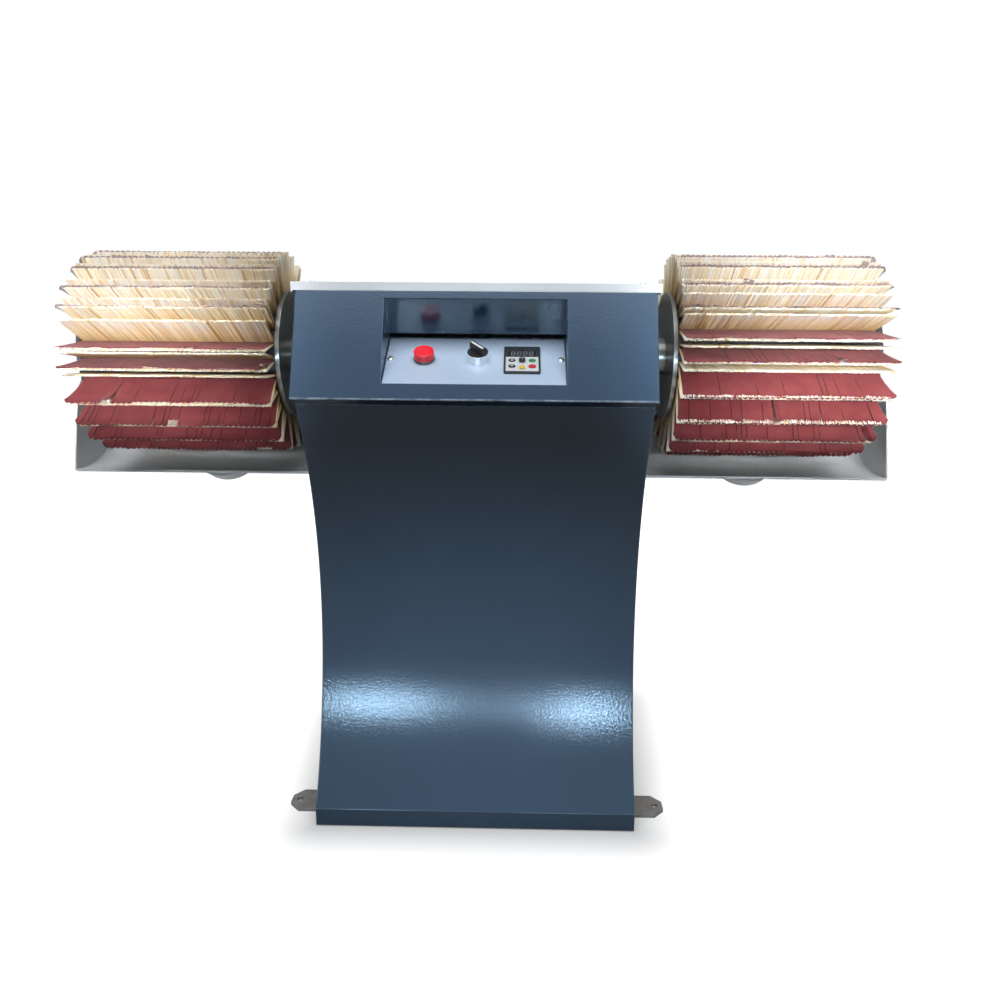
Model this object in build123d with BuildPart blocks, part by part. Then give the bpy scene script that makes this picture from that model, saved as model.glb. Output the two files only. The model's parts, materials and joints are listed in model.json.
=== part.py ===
from build123d import *
import os
from math import asin, cos, degrees, radians, sin, sqrt, tan

# Column covers, in millimetres, with +Z up, the front facing -Y and the floor at Z = 0.
# The origin lies midway between the two anchor holes.
column_width = 500.0
base_depth = 420.0
cover_sheet = 2.0
side_sheet = 3.0
floor_gap = 2.0
plinth_height = 31.0
waist_depth = 98.0
fold_height = 678.0
fold_reach = 18.0
lip_depth = 26.0
lip_drop = 10.0
head_rise = 142.0
head_top_setback = 46.0
return_depth = 14.0
edge_round = 1.8
lid_rise = 12.0
lid_fall = 12.0
lid_overhang = 6.0
lid_skirt = 12.0
flange_width = 20.0
fit_gap = 0.3

# Floor anchors
anchor_setback = 62.0
anchor_bar_width = 51.0
anchor_bar_thickness = 6.0
anchor_reach = 54.0
anchor_hole_inset = 13.0
anchor_hole_radius = 5.0
anchor_point = 16.0
frame_height = 40.0
frame_angle = 40.0
frame_wall = 5.0

# Control recess and sloping control panel
mouth_width = 253.0
mouth_offset = 24.0
mouth_margin = 9.8
panel_slope = 30.0
panel_depth = 108.0
panel_sheet = 3.0
panel_gap = 1.5
panel_rest = 16.0
recess_slot = 8.0
panel_screw_inset = 7.0
device_row = 57.5
keypad_row = 55.0
lamp_x = -72.0
selector_x = 3.2
keypad_x = 65.0
device_barrel_radius = 11.0
device_rear_length = 32.0
device_bezel_radius = 14.75
lamp_collar_height = 4.0
lamp_lens_radius = 14.1
lamp_height = 14.1
selector_height = 13.0
selector_rim = 1.2
selector_fin_length = 25.0
selector_fin_width = 7.0
selector_fin_height = 11.0
selector_rest_angle = 135.0
selector_spindle_radius = 4.0
selector_spindle_length = 8.0
selector_cup_depth = 5.0
contact_block_depth = 12.0
lens_round = 1.2

# Speed keypad
keypad_width = 51.0
keypad_length = 61.0
keypad_height = 3.2
keypad_rim = 2.8
keypad_rear_depth = 18.0
keypad_field_length = 33.0
keypad_face_thickness = 1.0
display_width = 38.0
display_length = 13.0
display_thickness = 0.8
display_margin = 1.0
key_width = 9.6
key_length = 6.4
stop_key_width = 10.4
stop_key_length = 7.8
key_proud = 1.0
key_root = 2.6
key_travel = 0.6
key_gap = 0.3
key_column = 14.1
upper_key_row = -3.2
lower_key_row = -17.0
function_key_row = -19.6
function_key_radius = 4.1
dial_row = -4.3
dial_radius = 4.5
dial_height = 3.2
dial_spindle_radius = 1.5
dial_spindle_length = 5.0

# Spindle and brushes
spindle_rise = 49.0
spindle_setback = 130.0
shaft_radius = 20.0
running_gap = 0.05
shaft_clear_radius = 30.0
collar_radius = 28.0
collar_length = 13.0
brush_gap = 31.0
brush_length = 278.0
inner_flange_radius = 93.0
inner_flange_thickness = 6.0
outer_flange_radius = 86.0
outer_flange_thickness = 6.0
hub_radius = 85.0
hub_rim = 22.0
hub_sleeve = 12.0
hub_web = 16.0
strip_count = 22
brush_phase = 2.5
slot_depth = 10.5
strip_slant = 34.0
strip_back_height = 10.0
strip_thickness = 8.0
brush_radius = 146.0
strands_per_strip = 11
strand_gap = 4.0
strand_end_inset = 3.0
strand_flare = 8.0
flap_thickness = 1.2
flap_short = 3.0
flap_slit_width = 1.5
flap_slit_length = 31.0
flap_slits = 13
clamp_nut_width = 46.0
clamp_nut_length = 16.0
thread_radius = 15.0
thread_end = 3.0

# Spindle bearings
bearing_base_width = 50.0
bearing_base_thickness = 16.0
bearing_bolt_clearance = 13.0
bearing_bolt_radius = 6.0
bearing_outer_radius = 40.0
bearing_width = 40.0
housing_wall = 9.0
housing_width = 36.0
bracket_thickness = 10.0
bracket_height = 50.0
bracket_width = 58.0

# Belt drive
belt_offset = 64.0
spindle_pulley_radius = 62.5
motor_pulley_radius = 40.0
pulley_width = 22.0
groove_width = 13.6
groove_depth = 11.0
groove_half_angle = 19.0
belt_height = 8.0

# Motor
motor_rear_gap = 148.0
motor_clearance = 4.0
motor_plate_thickness = 8.0
motor_plate_margin = 30.0
motor_radius = 78.0
motor_fin_height = 8.0
motor_fin_width = 3.0
motor_fin_count = 28
motor_body_length = 170.0
motor_shield_length = 22.0
motor_nose_gap = 22.0
motor_shaft_radius = 12.0
motor_wall = 12.0
rotor_radius = 49.5
rotor_gap = 0.5
motor_foot_height = 14.0
motor_pedestal_width = 90.0
motor_foot_spacing_x = 120.0
motor_foot_spacing_y = 140.0
motor_bolt_radius = 5.0
cowl_length = 70.0
cowl_sheet = 2.0
cowl_holes = 12
cowl_hole_radius = 7.0
fan_radius = 66.0
fan_length = 24.0
fan_blades = 8
fan_blade = 3.0
fan_hub_radius = 20.0
terminal_box_length = 90.0
terminal_box_width = 80.0
terminal_box_height = 45.0

# Inverter unit on the left side panel
inverter_width = 110.0
inverter_depth = 130.0
inverter_height = 185.0
inverter_gap = 17.0
inverter_setback = 250.0

# Dust hoods
hood_radius = 180.0
hood_end_gap = 30.0
hood_front_angle = 11.0
hood_top_gap = 2.0
hood_lean = 16.0
hood_corner_drop = 55.0
hem_width = 12.0
hood_bolt_radius = 4.0
hood_bolt_inset = 30.0
hood_bolt_step = 38.0
hood_bolt_count = 4
port_shift = 53.0
port_fall = 30.0
port_radius = 60.0
port_wall = 2.0
port_length = 176.0
port_spigot = 28.0
port_stand = 133.8
port_offset = 48.5
port_bead = 2.5
port_bead_width = 6.0

# Small fasteners and rear panel
cover_screw_radius = 2.5
cover_screw_head_radius = 4.6
cover_screw_head = 3.0
cover_screw_length = 9.0
lid_screw_inset = 40.0
rear_screw_rows = 3
louvre_width = 120.0
louvre_height = 7.0
louvre_pitch = 20.0
louvre_rows = 8
louvre_base_height = 120.0
gland_inset = 75.0
gland_z = 70.0
gland_radius = 12.0
gland_bore_radius = 6.5
gland_nut_radius = 15.0
gland_nut_length = 7.0
gland_length = 24.0
hex_width = 1.65
hex_head = 0.65
hex_nut = 0.8

# Points of the side profile, as (Y, Z)
half_width = column_width / 2
plinth_y = -anchor_setback
rear_y = plinth_y + base_depth
head_top_height = fold_height + head_rise
fold = Vector(plinth_y - fold_reach, fold_height)
head_top = Vector(plinth_y + head_top_setback, head_top_height)
skin_top = Vector(fold.X + lip_depth, fold_height - lip_drop)
plinth_top = Vector(plinth_y, plinth_height)

# The front skin is one arc between the plinth and the lip, hollow towards the front
chord = skin_top - plinth_top
chord_normal = Vector(chord.Y, -chord.X).normalized()
skin_radius = ((chord.length / 2) ** 2 + waist_depth ** 2) / (2 * waist_depth)
skin_centre = plinth_top + chord * 0.5 + chord_normal * (waist_depth - skin_radius)

# Directions of the head plate and of its lip, with the normals that point into the machine
plate_up = (head_top - fold).normalized()
plate_in = Vector(plate_up.Y, -plate_up.X)
lip_back = (skin_top - fold).normalized()
lip_in = Vector(-lip_back.Y, lip_back.X)
skin_in = (skin_top - skin_centre).normalized()

# Stations that follow from the driving dimensions
side_outer = half_width - cover_sheet
side_inner = side_outer - side_sheet
rear_inner = rear_y - cover_sheet
lid_underside = head_top_height + lid_rise - cover_sheet
frame_bottom = anchor_bar_thickness
frame_top = frame_bottom + frame_height
spindle_y = plinth_y + spindle_setback
spindle_height = fold_height + spindle_rise
motor_y = rear_y - motor_rear_gap
motor_axis_height = motor_radius + motor_fin_height + motor_clearance
brush_start = half_width + brush_gap
brush_end = brush_start + brush_length
brush_middle = (brush_start + brush_end) / 2
flap_radius = brush_radius - flap_short
shaft_end = brush_end + outer_flange_thickness + clamp_nut_length + thread_end
hood_end = shaft_end + hood_end_gap + cover_sheet
motor_z = frame_top + motor_plate_thickness + motor_axis_height
rear_bar_y = rear_y - anchor_setback
anchor_tip = half_width + anchor_reach
anchor_hole_x = anchor_tip - anchor_hole_inset
spindle_plane = Plane(origin=(0, spindle_y, spindle_height), x_dir=(0, 1, 0), z_dir=(1, 0, 0))
motor_plane = Plane(origin=(0, motor_y, motor_z), x_dir=(0, 1, 0), z_dir=(1, 0, 0))

# Mouth of the recess and the sloping panel, measured on the inner face of the head plate
panel_up = Vector(cos(radians(panel_slope)), sin(radians(panel_slope)))
panel_out = Vector(-panel_up.Y, panel_up.X)
mouth_low = fold + plate_up * mouth_offset + plate_in * cover_sheet
mouth_height = (head_top - fold).length - mouth_offset - mouth_margin
mouth_high = mouth_low + plate_up * mouth_height
head_plane = Plane(
    origin=(0, fold.X, fold.Y), x_dir=(1, 0, 0), z_dir=(0, -plate_in.X, -plate_in.Y)
)
panel_plane = Plane(
    origin=(0, mouth_low.X, mouth_low.Y), x_dir=(1, 0, 0), z_dir=(0, panel_out.X, panel_out.Y)
)

lid_front = head_top + plate_in * cover_sheet
lid_slope = lid_fall / (rear_inner - lid_front.X)
lid_plane = Plane(
    origin=(0, lid_front.X, lid_underside + cover_sheet), x_dir=(1, 0, 0), z_dir=(0, lid_slope, 1)
)
rear_plane = Plane(origin=(0, rear_y, 0), x_dir=(-1, 0, 0), z_dir=(0, 1, 0))

# Places of the small fasteners
flange_x = side_inner - flange_width / 2
lid_screw_rows = (lid_screw_inset, rear_inner - lid_front.X - lid_screw_inset)
lid_screw_places = [(side * flange_x, row) for side in (-1, 1) for row in lid_screw_rows]
rear_screw_pitch = lid_underside / rear_screw_rows
rear_screw_places = [
    (side * flange_x, rear_screw_pitch * (row + 0.5)) for side in (-1, 1) for row in range(rear_screw_rows)
]
hood_bolt_angles = [radians(270 + hood_bolt_step * bolt) for bolt in range(hood_bolt_count)]
hood_bolt_circle = hood_radius - hood_bolt_inset
hood_bolt_places = [(hood_bolt_circle * cos(at), hood_bolt_circle * sin(at)) for at in hood_bolt_angles]

# Bearing seats, motor stations and the mouth of the right dust port
bearing_x = side_inner - bracket_width / 2
housing_radius = bearing_outer_radius + housing_wall
bearing_centre_height = housing_radius + fit_gap
bearing_bolt_spacing = 2 * (housing_radius + bearing_bolt_clearance)
bearing_base_length = bearing_bolt_spacing + 6 * bearing_bolt_radius
belt_x = bearing_x - belt_offset
seat_plane = Plane.XY.offset(spindle_height - bearing_centre_height)
bearing_bolt_places = [(bearing_x, spindle_y + end * bearing_bolt_spacing / 2) for end in (-1, 1)]
motor_nose = belt_x - pulley_width / 2 - motor_nose_gap
motor_body_end = motor_nose - motor_shield_length
motor_body_start = motor_body_end - motor_body_length
motor_mid = (motor_body_start + motor_body_end) / 2
motor_foot_length = motor_foot_spacing_x + 6 * motor_bolt_radius
motor_foot_width = motor_foot_spacing_y + 6 * motor_bolt_radius
plate_top = frame_top + motor_plate_thickness
motor_bolt_places = [
    (motor_mid + end * motor_foot_spacing_x / 2, motor_y + side * motor_foot_spacing_y / 2)
    for end in (-1, 1) for side in (-1, 1)
]
port_out = Vector(cos(radians(port_fall)), -sin(radians(port_fall)))
port_down = Vector(port_out.Y, -port_out.X)
port_mouth = port_out * (hood_radius + port_stand) + port_down * port_offset
port_plane = Plane(
    origin=(brush_middle + port_shift, spindle_y + port_mouth.X, spindle_height + port_mouth.Y),
    x_dir=(1, 0, 0), z_dir=(0, port_out.X, port_out.Y)
)

# Keypad places, measured from the middle of its case
keypad_rear_width = keypad_width - 2 * keypad_rim
keypad_rear_length = keypad_length - 2 * keypad_rim
field_top = keypad_rim + keypad_field_length - keypad_length / 2
field_row = field_top - keypad_field_length / 2
display_row = field_top + display_margin + display_length / 2
field_floor = keypad_height - keypad_face_thickness
pocket_floor = field_floor - key_root
up_key = ((-key_column, upper_key_row), key_width, key_length)
down_key = ((-key_column, lower_key_row), key_width, key_length)
run_key = ((key_column, upper_key_row), key_width, key_length)
stop_key = ((key_column, lower_key_row), stop_key_width, stop_key_length)
function_key = ((0, function_key_row), 2 * function_key_radius, 2 * function_key_radius)


def skin_y(height, depth):
    """Y of the surface that lies a given depth behind the front skin."""
    return skin_centre.X + sqrt((skin_radius + depth) ** 2 - (height - skin_centre.Y) ** 2)


def mitre(corner, normal_a, normal_b, depth):
    """Corner of the side profile, moved in by one depth from both of its edges."""
    return corner + (normal_a + normal_b) * (depth / (1 + normal_a.dot(normal_b)))


def plate_y(height):
    """Y of the inner face of the head plate at a given height."""
    return mouth_high.X + (height - mouth_high.Y) * plate_up.X / plate_up.Y


def below_panel(depth):
    """Point on the head plate's inner face where a line that far under the panel meets it."""
    along = depth * plate_in.dot(panel_out) / plate_in.dot(panel_up)
    return mouth_low - panel_out * depth + panel_up * along


def pairs(*points):
    """The (Y, Z) points as plain pairs for a polyline."""
    return [(point.X, point.Y) for point in points]


def side_profile(*points):
    """Closed straight-edged profile in the side plane."""
    with BuildLine() as outline:
        Polyline(*pairs(*points), close=True)
    make_face(outline.edges())


def skin_profile(depth):
    """Closed profile of the plinth and the front skin, a given depth thick."""
    plinth_inner = skin_y(plinth_height, depth)
    skin_inner = skin_y(skin_top.Y, depth)
    with BuildLine() as outline:
        Polyline((plinth_inner, plinth_height), (plinth_inner, floor_gap), (plinth_y, floor_gap),
                 (plinth_y, plinth_height))
        ThreePointArc((plinth_y, plinth_height), (skin_y(skin_centre.Y, 0), skin_centre.Y),
                      (skin_top.X, skin_top.Y))
        Line((skin_top.X, skin_top.Y), (skin_inner, skin_top.Y))
        ThreePointArc((skin_inner, skin_top.Y), (skin_y(skin_centre.Y, depth), skin_centre.Y),
                      (plinth_inner, plinth_height))
    make_face(outline.edges())


def hood_profile(radius):
    """D-shaped side of a dust hood about the spindle, open towards the front and the top."""
    start = radians(270 - hood_front_angle)
    end = radians(360 + hood_top_angle)
    middle = (start + end) / 2
    low = (radius * cos(start), radius * sin(start))
    high = (radius * cos(end), radius * sin(end))
    corner = (low[0] - (hood_corner_drop + low[1]) * tan(radians(hood_lean)), -hood_corner_drop)
    with BuildLine() as outline:
        ThreePointArc(low, (radius * cos(middle), radius * sin(middle)), high)
        Polyline(high, corner, low)
    make_face(outline.edges())


def spindle_tube(outer, inner, start, end, mode=Mode.ADD):
    """Round tube about the spindle axis between two X stations."""
    with BuildSketch(spindle_plane.offset(start)) as section:
        Circle(outer)
        if inner:
            Circle(inner, mode=Mode.SUBTRACT)
    extrude(section.sketch, amount=end - start, mode=mode)


def motor_tube(outer, inner, start, end, mode=Mode.ADD):
    """Round tube about the motor axis between two X stations."""
    with BuildSketch(motor_plane.offset(start)) as section:
        Circle(outer)
        if inner:
            Circle(inner, mode=Mode.SUBTRACT)
    extrude(section.sketch, amount=end - start, mode=mode)


def panel_place(x, row):
    """Plane on the control panel at a place on it."""
    return Plane(origin=panel_plane.from_local_coords((x, row, 0)), x_dir=panel_plane.x_dir,
                 z_dir=panel_plane.z_dir)


def lid_z(y, rise):
    """Height of the surface that lies a given rise above the underside of the lid."""
    return lid_underside + rise - lid_slope * (y - lid_front.X)


def hood_band(inner, outer, first, last):
    """Curved strip about the spindle between two radii and two angles."""
    ends = (radians(first), radians(last))
    middle = (ends[0] + ends[1]) / 2
    with BuildLine() as outline:
        ThreePointArc(*[(outer * cos(at), outer * sin(at)) for at in (ends[0], middle, ends[1])])
        Line((outer * cos(ends[1]), outer * sin(ends[1])), (inner * cos(ends[1]), inner * sin(ends[1])))
        ThreePointArc(*[(inner * cos(at), inner * sin(at)) for at in (ends[1], middle, ends[0])])
        Line((inner * cos(ends[0]), inner * sin(ends[0])), (outer * cos(ends[0]), outer * sin(ends[0])))
    make_face(outline.edges())


def groove(radius):
    """Section of the belt groove in a pulley of a given radius."""
    with BuildLine() as outline:
        Polyline((-groove_width / 2, radius), (groove_width / 2, radius),
                 (groove_floor_width / 2, radius - groove_depth),
                 (-groove_floor_width / 2, radius - groove_depth), close=True)
    make_face(outline.edges())


def key_holes():
    """Openings for all the keys in the plane of the keypad."""
    for place, width, length in (up_key, down_key, run_key, stop_key, function_key):
        with Locations(place):
            Ellipse(width / 2 + key_gap, length / 2 + key_gap)


def key_cap(place, width, length):
    """One key, from its foot in the case to its top above the key field."""
    foot = pocket_floor + key_travel + key_gap
    with BuildPart() as cap:
        with BuildSketch(keypad_plane.offset(foot)):
            with Locations(place):
                Ellipse(width / 2, length / 2)
        extrude(amount=keypad_height + key_proud - foot)
    return cap


def screws(plane, places):
    """Dome-headed screws with their heads on a plane, at given places on it."""
    with BuildSketch(plane) as section:
        with Locations(*places):
            Circle(cover_screw_head_radius)
    extrude(section.sketch, amount=cover_screw_head)
    rims = edges().filter_by(GeomType.CIRCLE)
    fillet([rim for rim in rims if plane.to_local_coords(rim.position_at(0)).Z > cover_screw_head / 2],
           cover_screw_head * 0.6)
    with BuildSketch(plane) as section:
        with Locations(*places):
            Circle(cover_screw_radius)
    extrude(section.sketch, amount=-cover_screw_length)


def bolts(plane, places, radius, grip):
    """Hexagon bolts with their heads on a plane and their nuts on the far side of the grip."""
    nut = 2 * radius * hex_nut
    with BuildSketch(plane) as section:
        with Locations(*places):
            RegularPolygon(radius * hex_width, 6, major_radius=False)
    extrude(section.sketch, amount=2 * radius * hex_head)
    with BuildSketch(plane) as section:
        with Locations(*places):
            Circle(radius)
    extrude(section.sketch, amount=-(grip + nut + radius / 2))
    with BuildSketch(plane.offset(-grip)) as section:
        with Locations(*places):
            RegularPolygon(radius * hex_width, 6, major_radius=False)
    extrude(section.sketch, amount=-nut)


def twin(piece):
    """The same piece on the other side of the machine."""
    with BuildPart() as other:
        add(piece.part)
        mirror(about=Plane.YZ, mode=Mode.REPLACE)
    return other


os.makedirs("parts", exist_ok=True)
plate_front = skin_y(plate_top, cover_sheet) + fit_gap
hood_top = lid_z(rear_y, -lid_skirt) - hood_top_gap
hood_top_angle = degrees(asin((hood_top - spindle_height) / hood_radius))
lamp_plane = panel_place(lamp_x, device_row)
selector_plane = panel_place(selector_x, device_row)
keypad_plane = panel_place(keypad_x, keypad_row)

# Floor bars: a front bar with pointed ears and one hole in each, and a plain one at the rear
with BuildPart() as floor_bars:
    with BuildSketch() as ear_outline:
        Rectangle(2 * anchor_tip, anchor_bar_width)
        chamfer(ear_outline.vertices(), anchor_point)
    extrude(amount=anchor_bar_thickness)
    with BuildSketch():
        with Locations((0, rear_bar_y)):
            Rectangle(2 * (side_inner - fit_gap), anchor_bar_width)
    extrude(amount=anchor_bar_thickness)
    with GridLocations(2 * anchor_hole_x, 0, 2, 1):
        Hole(anchor_hole_radius)
floor_bars.part.label = "floor_bars"
export_step(floor_bars.part, "parts/floor_bars.step")

# Base frame: a ring of angle iron that stands on the floor bars
frame_front = skin_y(frame_top, cover_sheet) + fit_gap
frame_rear = rear_inner - side_sheet
frame_depth = frame_rear - frame_front
frame_middle = (frame_front + frame_rear) / 2
with BuildPart() as base_frame:
    with BuildSketch(Plane.XY.offset(frame_bottom)):
        with Locations((0, frame_middle)):
            Rectangle(2 * side_inner, frame_depth)
            Rectangle(2 * (side_inner - frame_wall), frame_depth - 2 * frame_wall, mode=Mode.SUBTRACT)
    extrude(amount=frame_height)
    with BuildSketch(Plane.XY.offset(frame_top - frame_wall)):
        with Locations((0, frame_middle)):
            Rectangle(2 * side_inner, frame_depth)
            Rectangle(2 * (side_inner - frame_angle), frame_depth - 2 * frame_angle, mode=Mode.SUBTRACT)
    extrude(amount=frame_wall)
base_frame.part.label = "base_frame"
export_step(base_frame.part, "parts/base_frame.step")

# Side panels: flat sheets with a flange at the rear and one under the lid
side_rear_top = lid_underside - lid_fall
skin_depth = cover_sheet + running_gap
skin_start = skin_y(plinth_height, skin_depth)
skin_end = mitre(skin_top, lip_in, skin_in, skin_depth)
fold_inner = mitre(fold, plate_in, lip_in, cover_sheet)
with BuildPart() as right_side_panel:
    with BuildSketch(Plane.YZ.offset(side_inner)):
        with BuildLine():
            Polyline(*pairs(skin_end, fold_inner, lid_front), (lid_front.X, lid_underside),
                     (rear_inner, side_rear_top), (rear_inner, floor_gap), (skin_start, floor_gap),
                     (skin_start, plinth_height))
            ThreePointArc((skin_start, plinth_height),
                          (skin_y(skin_centre.Y, skin_depth), skin_centre.Y),
                          (skin_end.X, skin_end.Y))
        make_face()
        Rectangle(anchor_bar_width + 2 * fit_gap, 2 * (anchor_bar_thickness + fit_gap), mode=Mode.SUBTRACT)
    extrude(amount=side_sheet)
    with BuildSketch(Plane.YZ.offset(side_inner)):
        with BuildLine():
            Polyline((rear_inner - side_sheet, floor_gap), (rear_inner, floor_gap),
                     (rear_inner, side_rear_top), (lid_front.X, lid_underside),
                     (lid_front.X, lid_underside - side_sheet),
                     (rear_inner - side_sheet, side_rear_top - side_sheet), close=True)
        make_face()
    extrude(amount=-flange_width)
    with BuildSketch(lid_plane):
        with Locations(*lid_screw_places):
            Circle(cover_screw_radius + running_gap)
    extrude(amount=-2 * (cover_sheet + side_sheet), mode=Mode.SUBTRACT)
    with BuildSketch(rear_plane):
        with Locations(*rear_screw_places):
            Circle(cover_screw_radius + running_gap)
    extrude(amount=-2 * (cover_sheet + side_sheet), mode=Mode.SUBTRACT)
    with BuildSketch(spindle_plane.offset(side_inner)):
        Circle(shaft_clear_radius)
        with Locations(*hood_bolt_places):
            Circle(hood_bolt_radius + fit_gap)
    extrude(amount=side_sheet, mode=Mode.SUBTRACT)
left_side_panel = twin(right_side_panel)
right_side_panel.part.label = "right_side_panel"
export_step(right_side_panel.part, "parts/right_side_panel.step")
left_side_panel.part.label = "left_side_panel"
export_step(left_side_panel.part, "parts/left_side_panel.step")

# Front skin: one sheet with the plinth at its foot, folded back along both sides
with BuildPart() as front_skin:
    with BuildSketch(Plane.YZ):
        skin_profile(cover_sheet)
    extrude(amount=half_width, both=True)
    for side in (-1, 1):
        with BuildSketch(Plane.YZ.offset(side * side_outer)):
            skin_profile(return_depth)
        extrude(amount=side * cover_sheet)
    for side in (-1, 1):
        side_face = front_skin.faces().sort_by(Axis.X)[0 if side < 0 else -1]
        fillet(side_face.edges().filter_by(GeomType.CIRCLE).sort_by(SortBy.RADIUS)[0], edge_round)
front_skin.part.label = "front_skin"
export_step(front_skin.part, "parts/front_skin.step")

# Head front panel: sloping plate with the recess mouth, a lip under the fold and folded sides
return_foot = fold + lip_back * (return_depth / plate_in.dot(lip_back))
with BuildPart() as head_front_panel:
    with BuildSketch(Plane.YZ):
        side_profile(head_top, fold, skin_top, skin_top + lip_in * cover_sheet, fold_inner, lid_front)
    extrude(amount=half_width, both=True)
    for side in (-1, 1):
        with BuildSketch(Plane.YZ.offset(side * side_outer)):
            side_profile(head_top, fold, return_foot, head_top + plate_in * return_depth)
        extrude(amount=side * cover_sheet)
    with BuildSketch(head_plane):
        with Locations((0, mouth_offset + mouth_height / 2)):
            Rectangle(mouth_width, mouth_height)
    extrude(amount=-2 * cover_sheet, mode=Mode.SUBTRACT)
    outer_face = head_front_panel.faces().sort_by(Axis((0, 0, 0), (0, -plate_in.X, -plate_in.Y)))[-1]
    fillet(outer_face.outer_wire().edges().sort_by(Axis.Z)[0:3], edge_round)
head_front_panel.part.label = "head_front_panel"
export_step(head_front_panel.part, "parts/head_front_panel.step")

# Control recess: ceiling and sides of bent sheet, a back that stands square to the panel with an open slot at its
# foot, and two rests under the panel
back_row = panel_depth + panel_gap
back_foot = mouth_low + panel_up * back_row
back_top = back_foot + panel_out * ((mouth_high.Y - back_foot.Y) / panel_out.Y)
recess_top = mouth_high.Y + cover_sheet
rest_front = below_panel(panel_sheet)
rest_rear = back_foot - panel_out * panel_sheet
sill_front = below_panel(panel_sheet + cover_sheet)
sill_rear = rest_rear - panel_out * cover_sheet
sill_corner = sill_rear + panel_up * cover_sheet
ceiling_front = Vector(plate_y(recess_top), recess_top)
back_corner = sill_corner + panel_out * ((recess_top - sill_corner.Y) / panel_out.Y)
panel_screw_x = mouth_width / 2 - panel_screw_inset
with BuildPart() as control_recess:
    with BuildSketch(Plane.YZ):
        side_profile(mouth_high, back_top, sill_rear, sill_corner, back_corner, ceiling_front)
    extrude(amount=mouth_width / 2 + cover_sheet, both=True)
    for side in (-1, 1):
        with BuildSketch(Plane.YZ.offset(side * mouth_width / 2)):
            side_profile(sill_front, sill_corner, back_corner, ceiling_front)
        extrude(amount=side * cover_sheet)
        with BuildSketch(Plane.YZ.offset(side * mouth_width / 2)):
            side_profile(rest_front, rest_rear, sill_rear, sill_front)
        extrude(amount=-side * panel_rest)
    with BuildSketch(panel_plane):
        with Locations((-panel_screw_x, device_row), (panel_screw_x, device_row)):
            Circle(cover_screw_radius + running_gap)
    extrude(amount=-2 * (panel_sheet + cover_sheet), mode=Mode.SUBTRACT)
    with BuildSketch(panel_plane):
        with Locations((0, back_row + cover_sheet / 2)):
            Rectangle(mouth_width, 2 * cover_sheet)
    extrude(amount=recess_slot, mode=Mode.SUBTRACT)
control_recess.part.label = "control_recess"
export_step(control_recess.part, "parts/control_recess.step")

# Control panel: sloping plate with holes for the lamp, the selector and the keypad
with BuildPart() as control_panel:
    with BuildSketch(panel_plane):
        with Locations((0, panel_depth / 2)):
            Rectangle(mouth_width - 2 * panel_gap, panel_depth)
        with Locations((lamp_x, device_row), (selector_x, device_row)):
            Circle(device_barrel_radius + fit_gap, mode=Mode.SUBTRACT)
        with Locations((keypad_x, keypad_row)):
            Rectangle(keypad_rear_width + 2 * fit_gap, keypad_rear_length + 2 * fit_gap,
                      mode=Mode.SUBTRACT)
        with Locations((-panel_screw_x, device_row), (panel_screw_x, device_row)):
            Circle(cover_screw_radius + running_gap, mode=Mode.SUBTRACT)
    extrude(amount=-panel_sheet)
control_panel.part.label = "control_panel"
export_step(control_panel.part, "parts/control_panel.step")

with BuildPart() as control_panel_screws:
    screws(panel_plane, [(-panel_screw_x, device_row), (panel_screw_x, device_row)])
control_panel_screws.part.label = "control_panel_screws"
export_step(control_panel_screws.part, "parts/control_panel_screws.step")

# Pilot lamp: collar and barrel through the panel, with a lens on top
with BuildPart() as pilot_lamp_body:
    with BuildSketch(lamp_plane):
        Circle(device_bezel_radius)
    extrude(amount=lamp_collar_height)
    with BuildSketch(lamp_plane):
        Circle(device_barrel_radius)
    extrude(amount=-device_rear_length)
pilot_lamp_body.part.label = "pilot_lamp_body"
export_step(pilot_lamp_body.part, "parts/pilot_lamp_body.step")

with BuildPart() as pilot_lamp_lens:
    with BuildSketch(lamp_plane.offset(lamp_collar_height)):
        Circle(lamp_lens_radius)
    extrude(amount=lamp_height - lamp_collar_height)
    fillet(pilot_lamp_lens.edges().group_by(Axis.Z)[-1], lens_round)
pilot_lamp_lens.part.label = "pilot_lamp_lens"
export_step(pilot_lamp_lens.part, "parts/pilot_lamp_lens.step")

# Selector: bezel with a cup for the knob, a barrel and a contact block behind the panel
selector_cup_radius = device_bezel_radius - selector_rim
selector_cup_floor = selector_height - selector_cup_depth
with BuildPart() as selector_body:
    with BuildSketch(selector_plane):
        Circle(device_bezel_radius)
    extrude(amount=selector_height)
    with BuildSketch(selector_plane):
        Circle(device_barrel_radius)
    extrude(amount=-device_rear_length)
    with BuildSketch(selector_plane.offset(-device_rear_length)):
        Rectangle(2 * device_bezel_radius, 2 * device_bezel_radius)
    extrude(amount=-contact_block_depth)
    with BuildSketch(selector_plane.offset(selector_height)):
        Circle(selector_cup_radius)
    extrude(amount=-selector_cup_depth, mode=Mode.SUBTRACT)
    with BuildSketch(selector_plane.offset(selector_cup_floor)):
        Circle(selector_spindle_radius + running_gap)
    extrude(amount=-selector_spindle_length - fit_gap, mode=Mode.SUBTRACT)
selector_body.part.label = "selector_body"
export_step(selector_body.part, "parts/selector_body.step")

with BuildPart() as selector_knob:
    with BuildSketch(selector_plane.offset(selector_cup_floor + fit_gap)):
        Circle(selector_cup_radius - fit_gap)
    extrude(amount=selector_cup_depth)
    with BuildSketch(selector_plane.offset(selector_height)):
        Rectangle(selector_fin_length, selector_fin_width, rotation=selector_rest_angle)
    extrude(amount=selector_fin_height)
    with BuildSketch(selector_plane.offset(selector_cup_floor + fit_gap)):
        Circle(selector_spindle_radius)
    extrude(amount=-selector_spindle_length)
selector_knob.part.label = "selector_knob"
export_step(selector_knob.part, "parts/selector_knob.step")

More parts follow.
